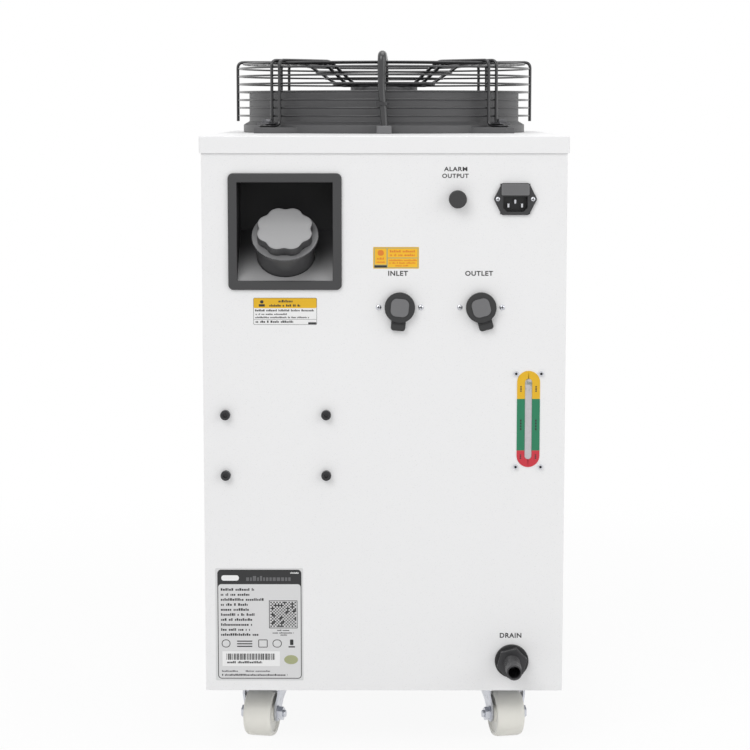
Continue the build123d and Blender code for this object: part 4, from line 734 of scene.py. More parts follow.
    def sweep(self, path: Sequence[Vector], wire: float, sides: int = 10) -> None:
        """Draw round wire along a path.

        Args:
            path: The path's points.
            wire: The wire's diameter.
            sides: The number of flats round the wire.
        """
        runs = [(b - a).normalized() for a, b in zip(path, path[1:])]
        ways = [runs[0], *((a + b).normalized() for a, b in zip(runs, runs[1:])), runs[-1]]
        before = set(self.mesh.faces)
        start = Matrix.Translation(path[0]) @ ways[0].to_track_quat("Z", "Y").to_matrix().to_4x4()
        edges = list(self.disc(wire / 2, start, sides).edges)
        for i in range(1, len(path)):
            grown = bmesh.ops.extrude_edge_only(self.mesh, edges=edges)["geom"]
            verts = [item for item in grown if isinstance(item, BMVert)]
            kept = set(verts)
            edges = [item for item in grown if isinstance(item, BMEdge) and set(item.verts) <= kept]
            turn = ways[i - 1].rotation_difference(ways[i]).to_matrix().to_4x4()
            step = Matrix.Translation(path[i]) @ turn @ Matrix.Translation(-path[i - 1])
            bmesh.ops.transform(self.mesh, matrix=step, verts=verts)
        bmesh.ops.contextual_create(self.mesh, geom=edges)
        self._inked(set(self.mesh.faces) - before)

    def bevel(
        self,
        width: float,
        segments: int = 2,
        angle: float = 30.0,
        keep: Callable[[BMEdge], bool] | None = None,
    ) -> "Shape":
        """Round the edges that turn by more than an angle.

        Args:
            width: The bevel's width.
            segments: The number of flats in it.
            angle: The least turn, in degrees.
            keep: A test that picks the edges, or None for all.

        Returns:
            The shape itself.
        """
        least = math.radians(angle)
        edges = [e for e in self.mesh.edges if len(e.link_faces) == 2 and e.calc_face_angle() > least]
        bmesh.ops.bevel(
            self.mesh,
            geom=[e for e in edges if keep is None or keep(e)],
            offset=width,
            offset_type="OFFSET",
            segments=segments,
            profile=0.5,
            affect="EDGES",
            clamp_overlap=True,
            material=-1,
        )
        return self

    def settle(self) -> "Shape":
        """Merge doubles and turn every face outwards.

        Returns:
            The shape itself.
        """
        bmesh.ops.remove_doubles(self.mesh, verts=self.mesh.verts, dist=DOUBLES)
        bmesh.ops.recalc_face_normals(self.mesh, faces=self.mesh.faces)
        return self

    def take(self, data: bpy.types.Mesh, place: Matrix) -> None:
        """Add a mesh on a place, and remove the mesh.

        Args:
            data: The mesh.
            place: The place that it is moved to.
        """
        data.transform(place)
        self.mesh.from_mesh(data)
        bpy.data.meshes.remove(data)

    def stamp(self, other: "Shape", place: Matrix) -> None:
        """Add a copy of another shape on a place.

        Args:
            other: The other shape, whose faces keep their finishes' numbers.
            place: The place.
        """
        copy = bpy.data.meshes.new("stamp")
        other.mesh.to_mesh(copy)
        self.take(copy, place)

    def piece(
        self, name: str, near: str, finishes: Sequence[Finish], replaces: Sequence[str] = ()
    ) -> bpy.types.Object:
        """Finish the shape as an object that rides on a body.

        Args:
            name: The object's name.
            near: The node whose body it rides on.
            finishes: The finishes, by the numbers that the faces hold.
            replaces: The nodes that it stands for.

        Returns:
            The object.
        """
        for face in self.mesh.faces:
            face.smooth = True
        for edge in self.mesh.edges:
            edge.smooth = len(edge.link_faces) == 2 and edge.calc_face_angle() < SHARP
        data = bpy.data.meshes.new(name)
        self.mesh.to_mesh(data)
        self.mesh.free()
        data.transform(Matrix.Scale(MM, 4) @ self.at)
        for finish in finishes:
            data.materials.append(finish.material())
        made = bpy.data.objects.new(name, data)
        bpy.context.scene.collection.objects.link(made)
        made.modifiers.new("normals", "WEIGHTED_NORMAL").keep_sharp = True
        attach(made, BODY_OF[near])
        if replaces:
            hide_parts(*replaces)
        log.info("%s: %d faces on %s", name, len(data.polygons), BODY_OF[near])
        return made


def softened(node: str, finish: Finish, width: float = 0.4, segments: int = 2) -> bpy.types.Object:
    """Stand a copy with rounded edges in for a node.

    Args:
        node: The node's name.
        finish: Its finish.
        width: The width of its rounded edges.
        segments: The number of flats in each.

    Returns:
        The new piece.
    """
    shape = Shape.of_node(node).bevel(width, segments)
    return shape.piece(f"{node}_shell", node, [finish], [node])


def dressed(node: str, finish: Finish) -> None:
    """Give a node its finish and leave its shape alone.

    Args:
        node: The node's name.
        finish: Its finish.
    """
    for slot in frame["nodes"][node].material_slots:
        slot.material = finish.material()
    log.info("%s: dressed in %s", node, finish.name)


class Head(Enum):
    """The drive of a screw's head."""

    CROSS = "cross"
    HEXAGON = "hexagon"


@dataclass(frozen=True)
class Screw:
    """A screw seen by its head."""

    radius: float
    height: float
    head: Head
    drive: float

    def shape(self) -> Shape:
        """Build the head on its seat: a hexagon socket is cut in, a cross drive is a raised dark cross of
        painted shade.

        Returns:
            The head, on a place of its own.
        """
        made = Shape()
        if self.head is Head.HEXAGON:
            top = made.lift(made.disc(self.radius, steps=36), self.height)
            socket = made.disc(self.drive / math.sqrt(3), spot(0, 0, self.height), 6)
            made.sink(top, socket, self.height * 0.6)
            return made.settle().bevel(self.height * 0.09, 2, 50)
        dome = [(self.radius * math.cos(a), self.height * math.sin(a)) for a in (0.0, 0.35, 0.75, 1.2)]
        made.turned([(0.0, 0.0), *dome, (0.0, self.height)], steps=36)
        made.settle()
        # Painted shade: the cross drive's recess is drawn as two raised dark slabs.
        made.ink = 1
        slot, low, high = (self.drive, self.drive * 0.22), self.height * 0.55, self.height * 1.01
        for turn in (20, 110):
            made.slab(slot, low, high, spot(0, 0, 0, turn))
        return made


@dataclass
class Cabinet:
    """The folded sheet casing."""

    edge: float = 0.35
    lid_edge: float = 1.3

    def build(self) -> None:
        """Round the folds and dress the sheet."""
        for node in ("service_panel", "control_panel", "side_panel_left", "side_panel_right"):
            softened(node, WHITE, self.edge)
        top = corner("top_lid", True).z
        lid = Shape.of_node("top_lid")
        lid.bevel(self.lid_edge, 4, keep=lambda e: min(v.co.z for v in e.verts) > top - 0.01)
        lid.bevel(self.edge, 1, 60)
        lid.piece("top_lid_shell", "top_lid", [WHITE], ["top_lid"])
        dressed("base_pan", GREY_SHEET)


@dataclass
class Filler:
    """The filler recess with its neck and lobed cap."""

    face_y: float
    x: float = -102.3
    z: float = 523.6
    depth: float = 25.0
    bore: float = 22.5
    radius: float = 30.0
    rim: float = 34.5
    foot: float = -39.9
    collar: float = 27.0
    mouth: float = 25.8
    lobes: int = 8
    scoop: float = 2.7
    cap_radius: float = 29.7
    cap_low: float = 30.6
    cap_high: float = 42.0
    bezel_depth: float = 1.0
    rim_thick: float = 3.5
    thread_rise: float = 7.3

    @property
    def neck(self) -> Matrix:
        """The neck's place, whose Z axis runs out along the neck."""
        return framed((self.x, self.face_y + self.depth, self.z), (1, 0, 0), (0, -1, 1))

    def build(self) -> None:
        """Build the recess, the neck, its rim, the seal and the cap."""
        recess = Shape.of_node("filler_recess").bevel(1.1, 3, 50)
        for face in recess.mesh.faces:
            face.normal_update()
            # Painted shade: the recess's inner walls are near black, darker than the bezel plastic.
            if face.calc_center_median().y > self.face_y + self.bezel_depth:
                # Painted light: the floor that slopes up to the front takes the finish that pales forward.
                face.material_index = 2 if face.normal.z > 0.4 and face.normal.y < -0.2 else 1
        recess.piece("filler_bezel", "filler_recess", [BEZEL, BLACK_AND_RECESS_SHADE, SLOPE_PAINTED_LIGHT], ["filler_recess"])
        self.pipe()
        dressed("cap_seal", RUBBER)
        self.cap()

    def pipe(self) -> None:
        """Turn the neck, whose rim carries a paler ring on top: a painted highlight."""
        low, high = self.collar, self.collar + self.rim_thick
        seat, top = high - 0.1, high + self.thread_rise
        neck = Shape(self.neck)
        neck.turned(
            [
                (self.bore, self.foot),
                (self.radius, self.foot),
                (self.radius, low - 3.0),
                (self.radius + 0.8, low - 1.0),
                (self.radius + 2.5, low),
                (self.rim - 0.6, low),
                (self.rim, low + 0.6),
                (self.rim, seat),
                (self.bore, seat),
            ],
            steps=96,
        )
        neck.turned([(self.mouth, seat), (self.mouth, top), (self.bore, top), (self.bore, seat)], steps=96)
        # Painted highlight: the rim's top ring is paler than the neck's dark plastic.
        neck.ink = 1
        neck.turned(
            [
                (self.mouth + 1.2, seat),
                (self.rim, seat),
                (self.rim, high - 0.5),
                (self.rim - 0.5, high),
                (self.mouth + 1.7, high),
            ],
            steps=96,
        )
        neck.settle().piece("filler_neck_pipe", "filler_neck", [NECK, RIM_HIGHLIGHT], ["filler_neck"])

    def cap(self) -> None:
        """Turn the cap and press the scoops between its lobes."""
        low, high, r = self.cap_low, self.cap_high, self.cap_radius
        inner = self.mouth + 0.4
        cap = Shape(self.neck)
        cap.turned(
            [
                (inner, low),
                (r - 0.8, low),
                (r - 0.1, low + 0.6),
                (r, high - 2.2),
                (r - 0.35, high - 1.0),
                (r - 1.2, high - 0.25),
                (r - 2.6, high + 0.1),
                (r - 7.0, high + 0.45),
                (r - 15.0, high + 0.8),
                (0.0, high + 0.9),
                (0.0, high - 2.8),
                (inner, high - 2.8),
            ],
            steps=192,
        )
        for vert in cap.mesh.verts:
            reach = math.hypot(vert.co.x, vert.co.y)
            if reach > inner + 0.2 or vert.co.z > high - 0.3:
                hold = min(1.0, max(0.0, (reach - 12.0) / 12.0))
                wave = 0.5 + 0.5 * math.cos(self.lobes * math.atan2(vert.co.y, vert.co.x))
                share = 1 - hold * self.scoop * wave**1.5 / max(reach, 1.0)
                vert.co.x *= share
                vert.co.y *= share
        for face in cap.mesh.faces:
            middle = face.calc_center_median()
            face.material_index = 0 if middle.z > high - 1.4 else 1
        cap.settle().piece("filler_cap_lobed", "filler_cap", [CAP, BEZEL], ["filler_cap"])


@dataclass
class Ports:
    """The two water ports with their pull-out plugs and screws."""

    face: Matrix
    x: tuple[float, float] = (16.1, 100.1)
    z: float = 471.0
    turns: tuple[float, float] = (-5.0, 15.0)
    screw_reach: float = 21.9
    window: float = 18.6
    window_bend: float = 6.2
    window_rise: float = 1.3
    lip: float = 2.2
    hollow: float = 1.1
    ridge: Span = (13.0, 1.4)
    ridge_drop: float = 16.6
    ridge_back: float = 1.4
    ridge_front: float = 0.2

    def build(self) -> None:
        """Build the ports, the plugs with their lips, and the screws."""
        screw = Screw(2.95, 1.7, Head.CROSS, 3.2).shape()
        screws = Shape(self.face)
        for name, x, turn in zip(("inlet", "outlet"), self.x, self.turns):
            softened(f"{name}_port", BLACK, 0.3)
            self.plug(name, x, turn)
            for side in (-1, 1):
                screws.stamp(screw, spot(x + side * self.screw_reach, self.z))
        screws.piece("port_screws", "service_panel", [STEEL, OXIDE_AND_DRIVE_SHADE])

    def plug(self, name: str, x: float, turn: float) -> None:
        """Round a plug and add the lip round its hollow, whose floor is painted shade, and the ridge above
        its tab.

        Args:
            name: The port's name.
            x: Its place along the face.
            turn: How far its tab leans, in degrees.
        """
        node = f"{name}_plug"
        plug = Shape.of_node(node).bevel(0.9, 3, 50)
        front = corner("service_panel", False).y - corner(node, False).y
        detail = Shape(self.face)
        place = spot(x, self.z, front - 0.1, turn)
        detail.ink = 1
        outline = detail.plate((self.window, self.window), place, self.window_bend)
        top = detail.lift(outline, self.window_rise)
        floor = detail.inset(top, self.lip)
        # Painted shade: the hollow's floor is near black; the ridge further down takes the same black.
        detail.ink = 2
        detail.lift(floor, -self.hollow)
        detail.settle().bevel(0.35, 2, 50)
        ridge_place = spot(x, self.z, 0, turn) @ spot(0, -self.ridge_drop)
        detail.slab(self.ridge, front - self.ridge_back, front - self.ridge_front, ridge_place)
        plug.stamp(detail, self.face)
        plug.piece(f"{node}_moulding", node, [RUBBER, GREY_PLASTIC, BLACK_AND_RECESS_SHADE], [node])


@dataclass
class Drain:
    """The drain spout with its washer and nut."""

    face: Matrix
    x: float = 134.5
    z: float = 96.9
    radius: float = 8.75
    hose: float = 8.45
    bore: float = 6.0
    proud: float = 50.0
    inside: float = 13.1
    ridge: float = 0.45
    ridges: int = 11
    pitch: float = 2.0
    ridges_from: float = 13.0
    nut_turn: float = -15.0
    nut_flats: float = 28.6
    nut_height: float = 8.9

    def build(self) -> None:
        """Turn the ridged spout, and cut the nut and its washer."""
        r, start, end = self.hose, self.ridges_from, self.proud
        section = [(self.bore, -self.inside), (self.radius, -self.inside)]
        section += [(self.radius, start - 0.4), (r, start - 0.2)]
        for i in range(self.ridges):
            low = start + i * self.pitch
            section += [(r - self.ridge, low), (r - self.ridge, low + 0.5), (r, low + 0.9), (r, low + 1.6)]
        section += [(r - 0.3, end - 12.0), (r - 0.3, end - 1.0), (r - 1.1, end - 0.1)]
        section += [(self.bore + 0.8, end - 0.1), (self.bore, end - 1.0)]
        spout = Shape(self.face @ spot(self.x, self.z))
        spout.turned(section, steps=72)
        spout.settle().piece("drain_pipe", "drain_spout", [BLACK], ["drain_spout"])
        self.nut()
        softened("drain_washer", RUBBER, 0.7, 3)

    def nut(self) -> None:
        """Cut the hexagon nut with chamfered corners."""
        low = corner("service_panel", False).y - corner("drain_nut", True).y
        nut = Shape(self.face @ spot(self.x, self.z, low, self.nut_turn))
        top = nut.lift(nut.disc(self.nut_flats / math.sqrt(3), steps=6), self.nut_height)
        nut.sink(top, nut.disc(self.radius + 0.1, spot(0, 0, self.nut_height), 48), self.nut_height - 0.9)
        nut.settle().bevel(0.7, 3, 35)
        nut.piece("drain_nut_hexagon", "drain_nut", [BLACK], ["drain_nut"])


@dataclass
class Gauge:
    """The level gauge: colour fields round a sight tube, and four screws."""

    face: Matrix
    x: float = 149.9
    z: float = 354.4
    width: float = 23.8
    height: float = 101.0
    window: float = 7.5
    thick: float = 0.5
    full: float = 375.6
    low: float = 321.4
    screw_x: float = 13.0
    screw_z: float = 48.9

    def build(self) -> None:
        """Build the coloured film, the sight tube and the screws."""
        self.film()
        tube = Shape.of_node("level_glass")
        tube.bevel(0.3, 2)
        tube.piece("level_tube", "level_glass", [SIGHT], ["level_glass"])
        screw = Screw(2.6, 2.4, Head.HEXAGON, 2.5).shape()
        screws = Shape(self.face)
        for x in (-self.screw_x, self.screw_x):
            for z in (-self.screw_z, self.screw_z):
                screws.stamp(screw, spot(self.x + x, self.z - 1.3 + z, 0, 10))
        screws.piece("gauge_screws", "service_panel", [STEEL])

    def film(self) -> None:
        """Cut the capsule ring into its three colour fields and print their marks."""
        film = Shape(self.face)
        outer = film.plate((self.width, self.height), spot(self.x, self.z), self.width * 0.4995)
        wall = (self.width - self.window) / 2
        inner = film.inset(outer, wall)
        bmesh.ops.delete(film.mesh, geom=[inner], context="FACES_ONLY")
        for level in (self.full, self.low):
            geom = [*film.mesh.verts, *film.mesh.edges, *film.mesh.faces]
            bmesh.ops.bisect_plane(film.mesh, geom=geom, plane_co=(0, level, 0), plane_no=(0, 1, 0))
        for face in film.mesh.faces:
            middle = face.calc_center_median().y
            face.material_index = 0 if middle > self.full else 2 if middle < self.low else 1
        film.thicken(self.thick)
        film.settle()
        film.ink = 3
        side = (self.window + wall) / 2
        for x in (-side, side):
            for length, z in ((6.4, self.full + 10.5), (12.0, self.z - 6.0), (5.2, self.low - 6.5)):
                dashes = 4 if length > 6 else 3
                for i in range(dashes):
                    step = length / dashes
                    place = spot(self.x + x, z + (i - (dashes - 1) / 2) * step)
                    film.slab((1.5, step * 0.7), self.thick, self.thick + 0.05, place)
        film.piece("level_film", "level_scale", [YELLOW_FILM, GREEN_FILM, RED_FILM, INK], ["level_scale"])


@dataclass
class PowerAndAlarm:
    """The fused power inlet and the capped alarm socket."""

    face: Matrix
    x: float = 134.6
    z: float = 582.7
    screw_reach: float = 18.0
    drawer_rise: float = 9.75
    ribs: int = 5
    rib: Span = (25.0, 0.7)
    rib_pitch: float = 1.9
    rib_height: float = 0.25

    def build(self) -> None:
        """Round the mouldings and add ribs and screws."""
        softened("power_inlet", BLACK, 0.6, 3)
        softened("inlet_pins", STEEL, 0.25)
        softened("alarm_socket", BLACK, 0.4)
        softened("alarm_cap", KNURL, 1.1, 3)
        front = corner("service_panel", False).y - corner("fuse_drawer", False).y
        drawer = Shape.of_node("fuse_drawer").bevel(0.5, 2, 50)
        ribs = Shape()
        for i in range(self.ribs):
            place = spot(self.x, self.z + self.drawer_rise + (i - (self.ribs - 1) / 2) * self.rib_pitch)
            ribs.slab(self.rib, front - 0.05, front + self.rib_height, place)
        drawer.stamp(ribs, self.face)
        drawer.piece("fuse_drawer_face", "fuse_drawer", [GREY_PLASTIC], ["fuse_drawer"])
        screw = Screw(2.5, 1.5, Head.CROSS, 2.9).shape()
        screws = Shape(self.face)
        flange = corner("service_panel", False).y - corner("power_inlet", False).y
        for side in (-1, 1):
            screws.stamp(screw, spot(self.x + side * self.screw_reach, self.z, flange))
        screws.piece("inlet_screws", "service_panel", [STEEL, OXIDE_AND_DRIVE_SHADE])


@dataclass
class Print:
    """Flat print on a film: fields, bars and rows that only look like writing."""

    shape: Shape
    left: float
    top: float
    level: float
    step: float = 0.06
    rows: int = 0

    def bar(self, ink: int, u: Span, v: Span, lifts: int = 1, bend: float = 0.0) -> None:
        """Print one field.

        Args:
            ink: The finish's number.
            u: Its left and right ends, from the film's left edge.
            v: Its top and bottom, down from the film's top edge.
            lifts: How many layers of print lie under its face.
            bend: The radius of its corners.
        """
        self.shape.ink = ink
        place = spot(self.left + sum(u) / 2, self.top - sum(v) / 2, self.level)
        self.shape.lift(self.shape.plate((u[1] - u[0], v[1] - v[0]), place, bend), self.step * lifts)

    def row(self, ink: int, u: Span, v: float, height: float, lifts: int = 1) -> None:
        """Print a row of short blocks of uneven width, as unreadable words.

        Args:
            ink: The finish's number.
            u: Its left and right ends, from the film's left edge.
            v: Its middle, down from the film's top edge.
            height: The tallest blocks' height.
            lifts: How many layers of print lie under its face.
        """
        self.rows += 1
        pick = random.Random(self.rows * 7 + 3)
        at = u[0]
        while at < u[1] - 0.3:
            width = min(height * pick.uniform(0.35, 0.75), u[1] - at)
            tall = height * pick.choice((0.72, 0.72, 1.0))
            foot = v + height / 2
            self.bar(ink, (at, at + width), (foot - tall, foot), lifts)
            at += width + height * (0.9 if pick.random() < 0.16 else 0.2)


@dataclass
class Labels:
    """The rating plate, the two yellow labels and the function lettering."""

    face: Matrix
    stroke: float = 0.028
    spacing: float = 1.12
    ink_thick: float = 0.08

    def build(self) -> None:
        """Print all of them on the service face."""
        self.rating_plate()
        self.filler_label()
        self.port_label()
        for word, width, height, x, z in (
            ("ALARM", 24.0, 4.4, 73.2, 613.4),
            ("OUTPUT", 27.2, 4.4, 73.0, 606.4),
            ("INLET", 20.4, 5.1, 14.3, 506.2),
            ("OUTLET", 28.8, 5.1, 97.9, 506.2),
            ("DRAIN", 22.8, 5.2, 133.3, 124.2),
        ):
            self.word(word, (width, height), spot(x, z))

    def word(self, text: str, size: Span, place: Matrix) -> None:
        """Print one function word.

        Args:
            text: The word.
            size: Its width and its capitals' height.
            place: Where its middle lies on the face.
        """
        curve = bpy.data.curves.new("word", "FONT")
        curve.body = text
        curve.extrude = 0.02
        curve.offset = self.stroke
        curve.space_character = self.spacing
        data = as_mesh(curve)
        low = Vector(min(v.co[i] for v in data.vertices) for i in range(3))
        high = Vector(max(v.co[i] for v in data.vertices) for i in range(3))
        span = high - low
        fit = Matrix.Diagonal((size[0] / span.x, size[1] / span.y, self.ink_thick / span.z, 1.0))
        shape = Shape(self.face @ place)
        shape.take(data, fit @ spot(-(low.x + high.x) / 2, -(low.y + high.y) / 2, -low.z))
        shape.settle().piece(f"word_{text.lower()}", "service_panel", [INK])

    def rating_plate(self) -> None:
        """Print the plate: a dark header, plain rows, bars, a grid and a sticker."""
        left, top, width, height = -177.3, 196.2, 92.3, 120.8
        film, dark, pale, white, olive, grey = range(6)
        plate = Print(Shape(self.face), left, top, 0.0)
        plate.step = 0.25
        plate.bar(film, (0.0, width), (0.0, height), 1, 1.5)
        plate.level, plate.step = 0.25, 0.06
        plate.bar(dark, (2.2, 90.5), (1.6, 118.9), 1, 4.0)
        plate.bar(film, (3.0, 89.7), (17.2, 118.1), 2, 3.2)
        plate.bar(pale, (6.4, 24.8), (7.6, 13.4), 2, 2.6)
        plate.row(grey, (32.5, 79.5), 11.0, 5.2, 2)
        plate.row(pale, (79.0, 88.0), 5.0, 1.6, 2)
        lengths = (35.0, 30.3, 45.2, 30.3, 30.8, 35.4, 33.1, 32.6, 30.3, 39.2)
        for i, length in enumerate(lengths):
            plate.row(dark, (5.7, 5.7 + length), 22.8 + 5.38 * i, 2.7, 3)
        self.grid(plate, dark, (56.3, 34.6), 29.9)
        for v, start, end in ((66.6, 64.9, 77.5), (69.4, 60.0, 82.1), (71.6, 68.2, 75.1)):
            plate.row(dark, (start, end), v, 1.5, 3)
        self.marks(plate, dark, film)
        plate.bar(white, (6.9, 67.5), (89.3, 105.3), 3)
        self.bars(plate, dark, (11.2, 62.1), (91.8, 98.5))
        plate.row(dark, (11.9, 48.6), 101.1, 2.4, 4)
        plate.shape.ink = olive
        place = spot(left + 79.3, top - 98.3, 0.37) @ Matrix.Diagonal((7.3, 4.9, 1.0, 1.0))
        plate.shape.lift(plate.shape.disc(1.0, place, 40), 0.1)
        plate.row(grey, (6.3, 23.4), 110.7, 1.7, 3)
        plate.row(grey, (31.3, 58.8), 110.7, 1.7, 3)
        plate.row(dark, (6.3, 75.3), 114.8, 2.0, 3)
        finishes = [SILVER_FILM, INK, WHITE_FILM, WHITE_FILM, OLIVE_FILM, GREY_INK]
        plate.shape.settle().piece("rating_plate", "service_panel", finishes)

    @staticmethod
    def grid(plate: Print, ink: int, at: Span, size: float) -> None:
        """Print a square of plain checks inside a frame.

        Args:
            plate: The film.
            ink: The finish's number.
            at: The square's left edge and top.
            size: The length of its sides.
        """
        u, v = at
        line = 0.7
        across, down = (u, u + size), (v, v + size)
        for start in (v, v + size - line):
            plate.bar(ink, across, (start, start + line), 3)
        for start in (u, u + size - line):
            plate.bar(ink, (start, start + line), down, 3)
        count = 17
        cell = (size - 4 * line) / count
        pick = random.Random(11)
        for i in range(count):
            for j in range(count):
                if (i + j) % 2 == 0 or pick.random() < 0.14:
                    x, y = u + 2 * line + i * cell, v + 2 * line + j * cell
                    plate.bar(ink, (x, x + cell * 0.96), (y, y + cell * 0.96), 3)

    @staticmethod
    def bars(plate: Print, ink: int, u: Span, v: Span) -> None:
        """Print a strip of upright bars of four widths.

        Args:
            plate: The film.
            ink: The finish's number.
            u: The strip's left and right ends.
            v: Its top and bottom.
        """
        at, i = u[0], 0
        widths = (0.5, 1.1, 0.5, 0.8, 1.5)
        while at < u[1]:
            width = widths[(i * i + i // 3) % len(widths)]
            plate.bar(ink, (at, min(at + width, u[1])), v, 4)
            at += width + widths[(i * 3 + 1) % 4] * 0.9
            i += 1

    @staticmethod
    def marks(plate: Print, dark: int, film: int) -> None:
        """Print a line of plain shapes: frames, bars and a small post.

        Args:
            plate: The film.
            dark: The outlines' finish.
            film: The finish inside the frames.
        """
        low, high = 76.6, 85.2
        for start, end, bend in ((6.2, 15.4, 4.2), (44.8, 54.6, 1.0), (59.8, 69.6, 4.2)):
            plate.bar(dark, (start, end), (low, high), 3, bend)
            plate.bar(film, (start + 0.8, end - 0.8), (low + 0.8, high - 0.8), 4, max(bend - 0.8, 0.3))
        for drop in (1.2, 4.0, 6.8):
            plate.bar(dark, (22.4, 38.4), (low + drop, low + drop + 1.2), 3)
        plate.bar(dark, (76.6, 83.4), (high - 1.4, high), 3)
        plate.bar(dark, (78.2, 81.8), (low, high - 2.6), 3, 0.8)

    def filler_label(self) -> None:
        """Print the filler's label: a yellow header over plain rows."""
        left, top, width, height = -135.2, 480.8, 65.6, 27.9
        white, yellow, dark = range(3)
        label = Print(Shape(self.face), left, top, 0.0)
        label.bar(dark, (0.0, width), (0.0, height), 2, 1.4)
        label.bar(white, (0.35, width - 0.35), (0.35, height - 0.35), 3, 1.2)
        label.bar(yellow, (0.35, width - 0.35), (0.35, 10.6), 4, 1.2)
        label.row(dark, (26.0, 40.5), 3.4, 2.6, 5)
        label.row(dark, (16.5, 49.0), 7.9, 2.2, 5)
        label.bar(dark, (5.6, 11.8), (6.6, 9.0), 5)
        label.bar(dark, (6.9, 10.5), (2.4, 5.8), 5, 1.6)
        label.row(dark, (1.8, 62.5), 13.0, 2.0, 4)
        label.row(dark, (2.2, 34.8), 16.9, 1.6, 4)
        label.row(dark, (1.8, 57.5), 20.2, 1.6, 4)
        label.bar(dark, (0.6, width - 0.6), (22.1, 22.4), 4)
        label.row(dark, (2.2, 41.0), 24.7, 2.3, 4)
        label.bar(dark, (56.6, 65.0), (25.3, 27.4), 4)
        label.shape.settle().piece("filler_label", "service_panel", [WHITE_FILM, YELLOW_FILM, INK])

    def port_label(self) -> None:
        """Print the amber label beside the ports: cells of plain rows."""
        left, top, width, height = -11.4, 533.4, 47.2, 22.3
        amber, yellow, orange, dark, olive = range(5)
        label = Print(Shape(self.face), left, top, 0.0)
        label.bar(yellow, (0.0, width), (0.0, height), 2, 0.8)
        label.bar(olive, (0.9, width - 0.7), (0.8, height - 0.7), 3, 0.5)
        label.bar(amber, (1.7, 13.8), (1.5, 18.2), 4)
        label.bar(amber, (15.0, width - 1.4), (1.5, 10.9), 4)
        label.bar(amber, (15.0, width - 1.4), (11.7, height - 1.3), 4)
        label.bar(dark, (1.3, 14.2), (18.9, 21.2), 4)
        label.bar(orange, (4.6, 11.0), (3.2, 9.0), 5, 2.6)
        label.row(orange, (4.0, 11.8), 11.9, 2.2, 5)
        label.row(orange, (3.6, 12.2), 15.6, 1.8, 5)
        for v in (4.4, 8.2):
            label.row(orange, (17.2, 43.0), v, 2.3, 5)
        for v, start, end in ((13.7, 16.2, 45.0), (16.4, 16.2, 44.0), (19.2, 23.0, 36.0)):
            label.row(orange, (start, end), v, 1.6, 5)
        finishes = [AMBER_FILM, YELLOW_FILM, ORANGE_INK, INK, OLIVE_FILM]
        label.shape.settle().piece("port_label", "service_panel", finishes)


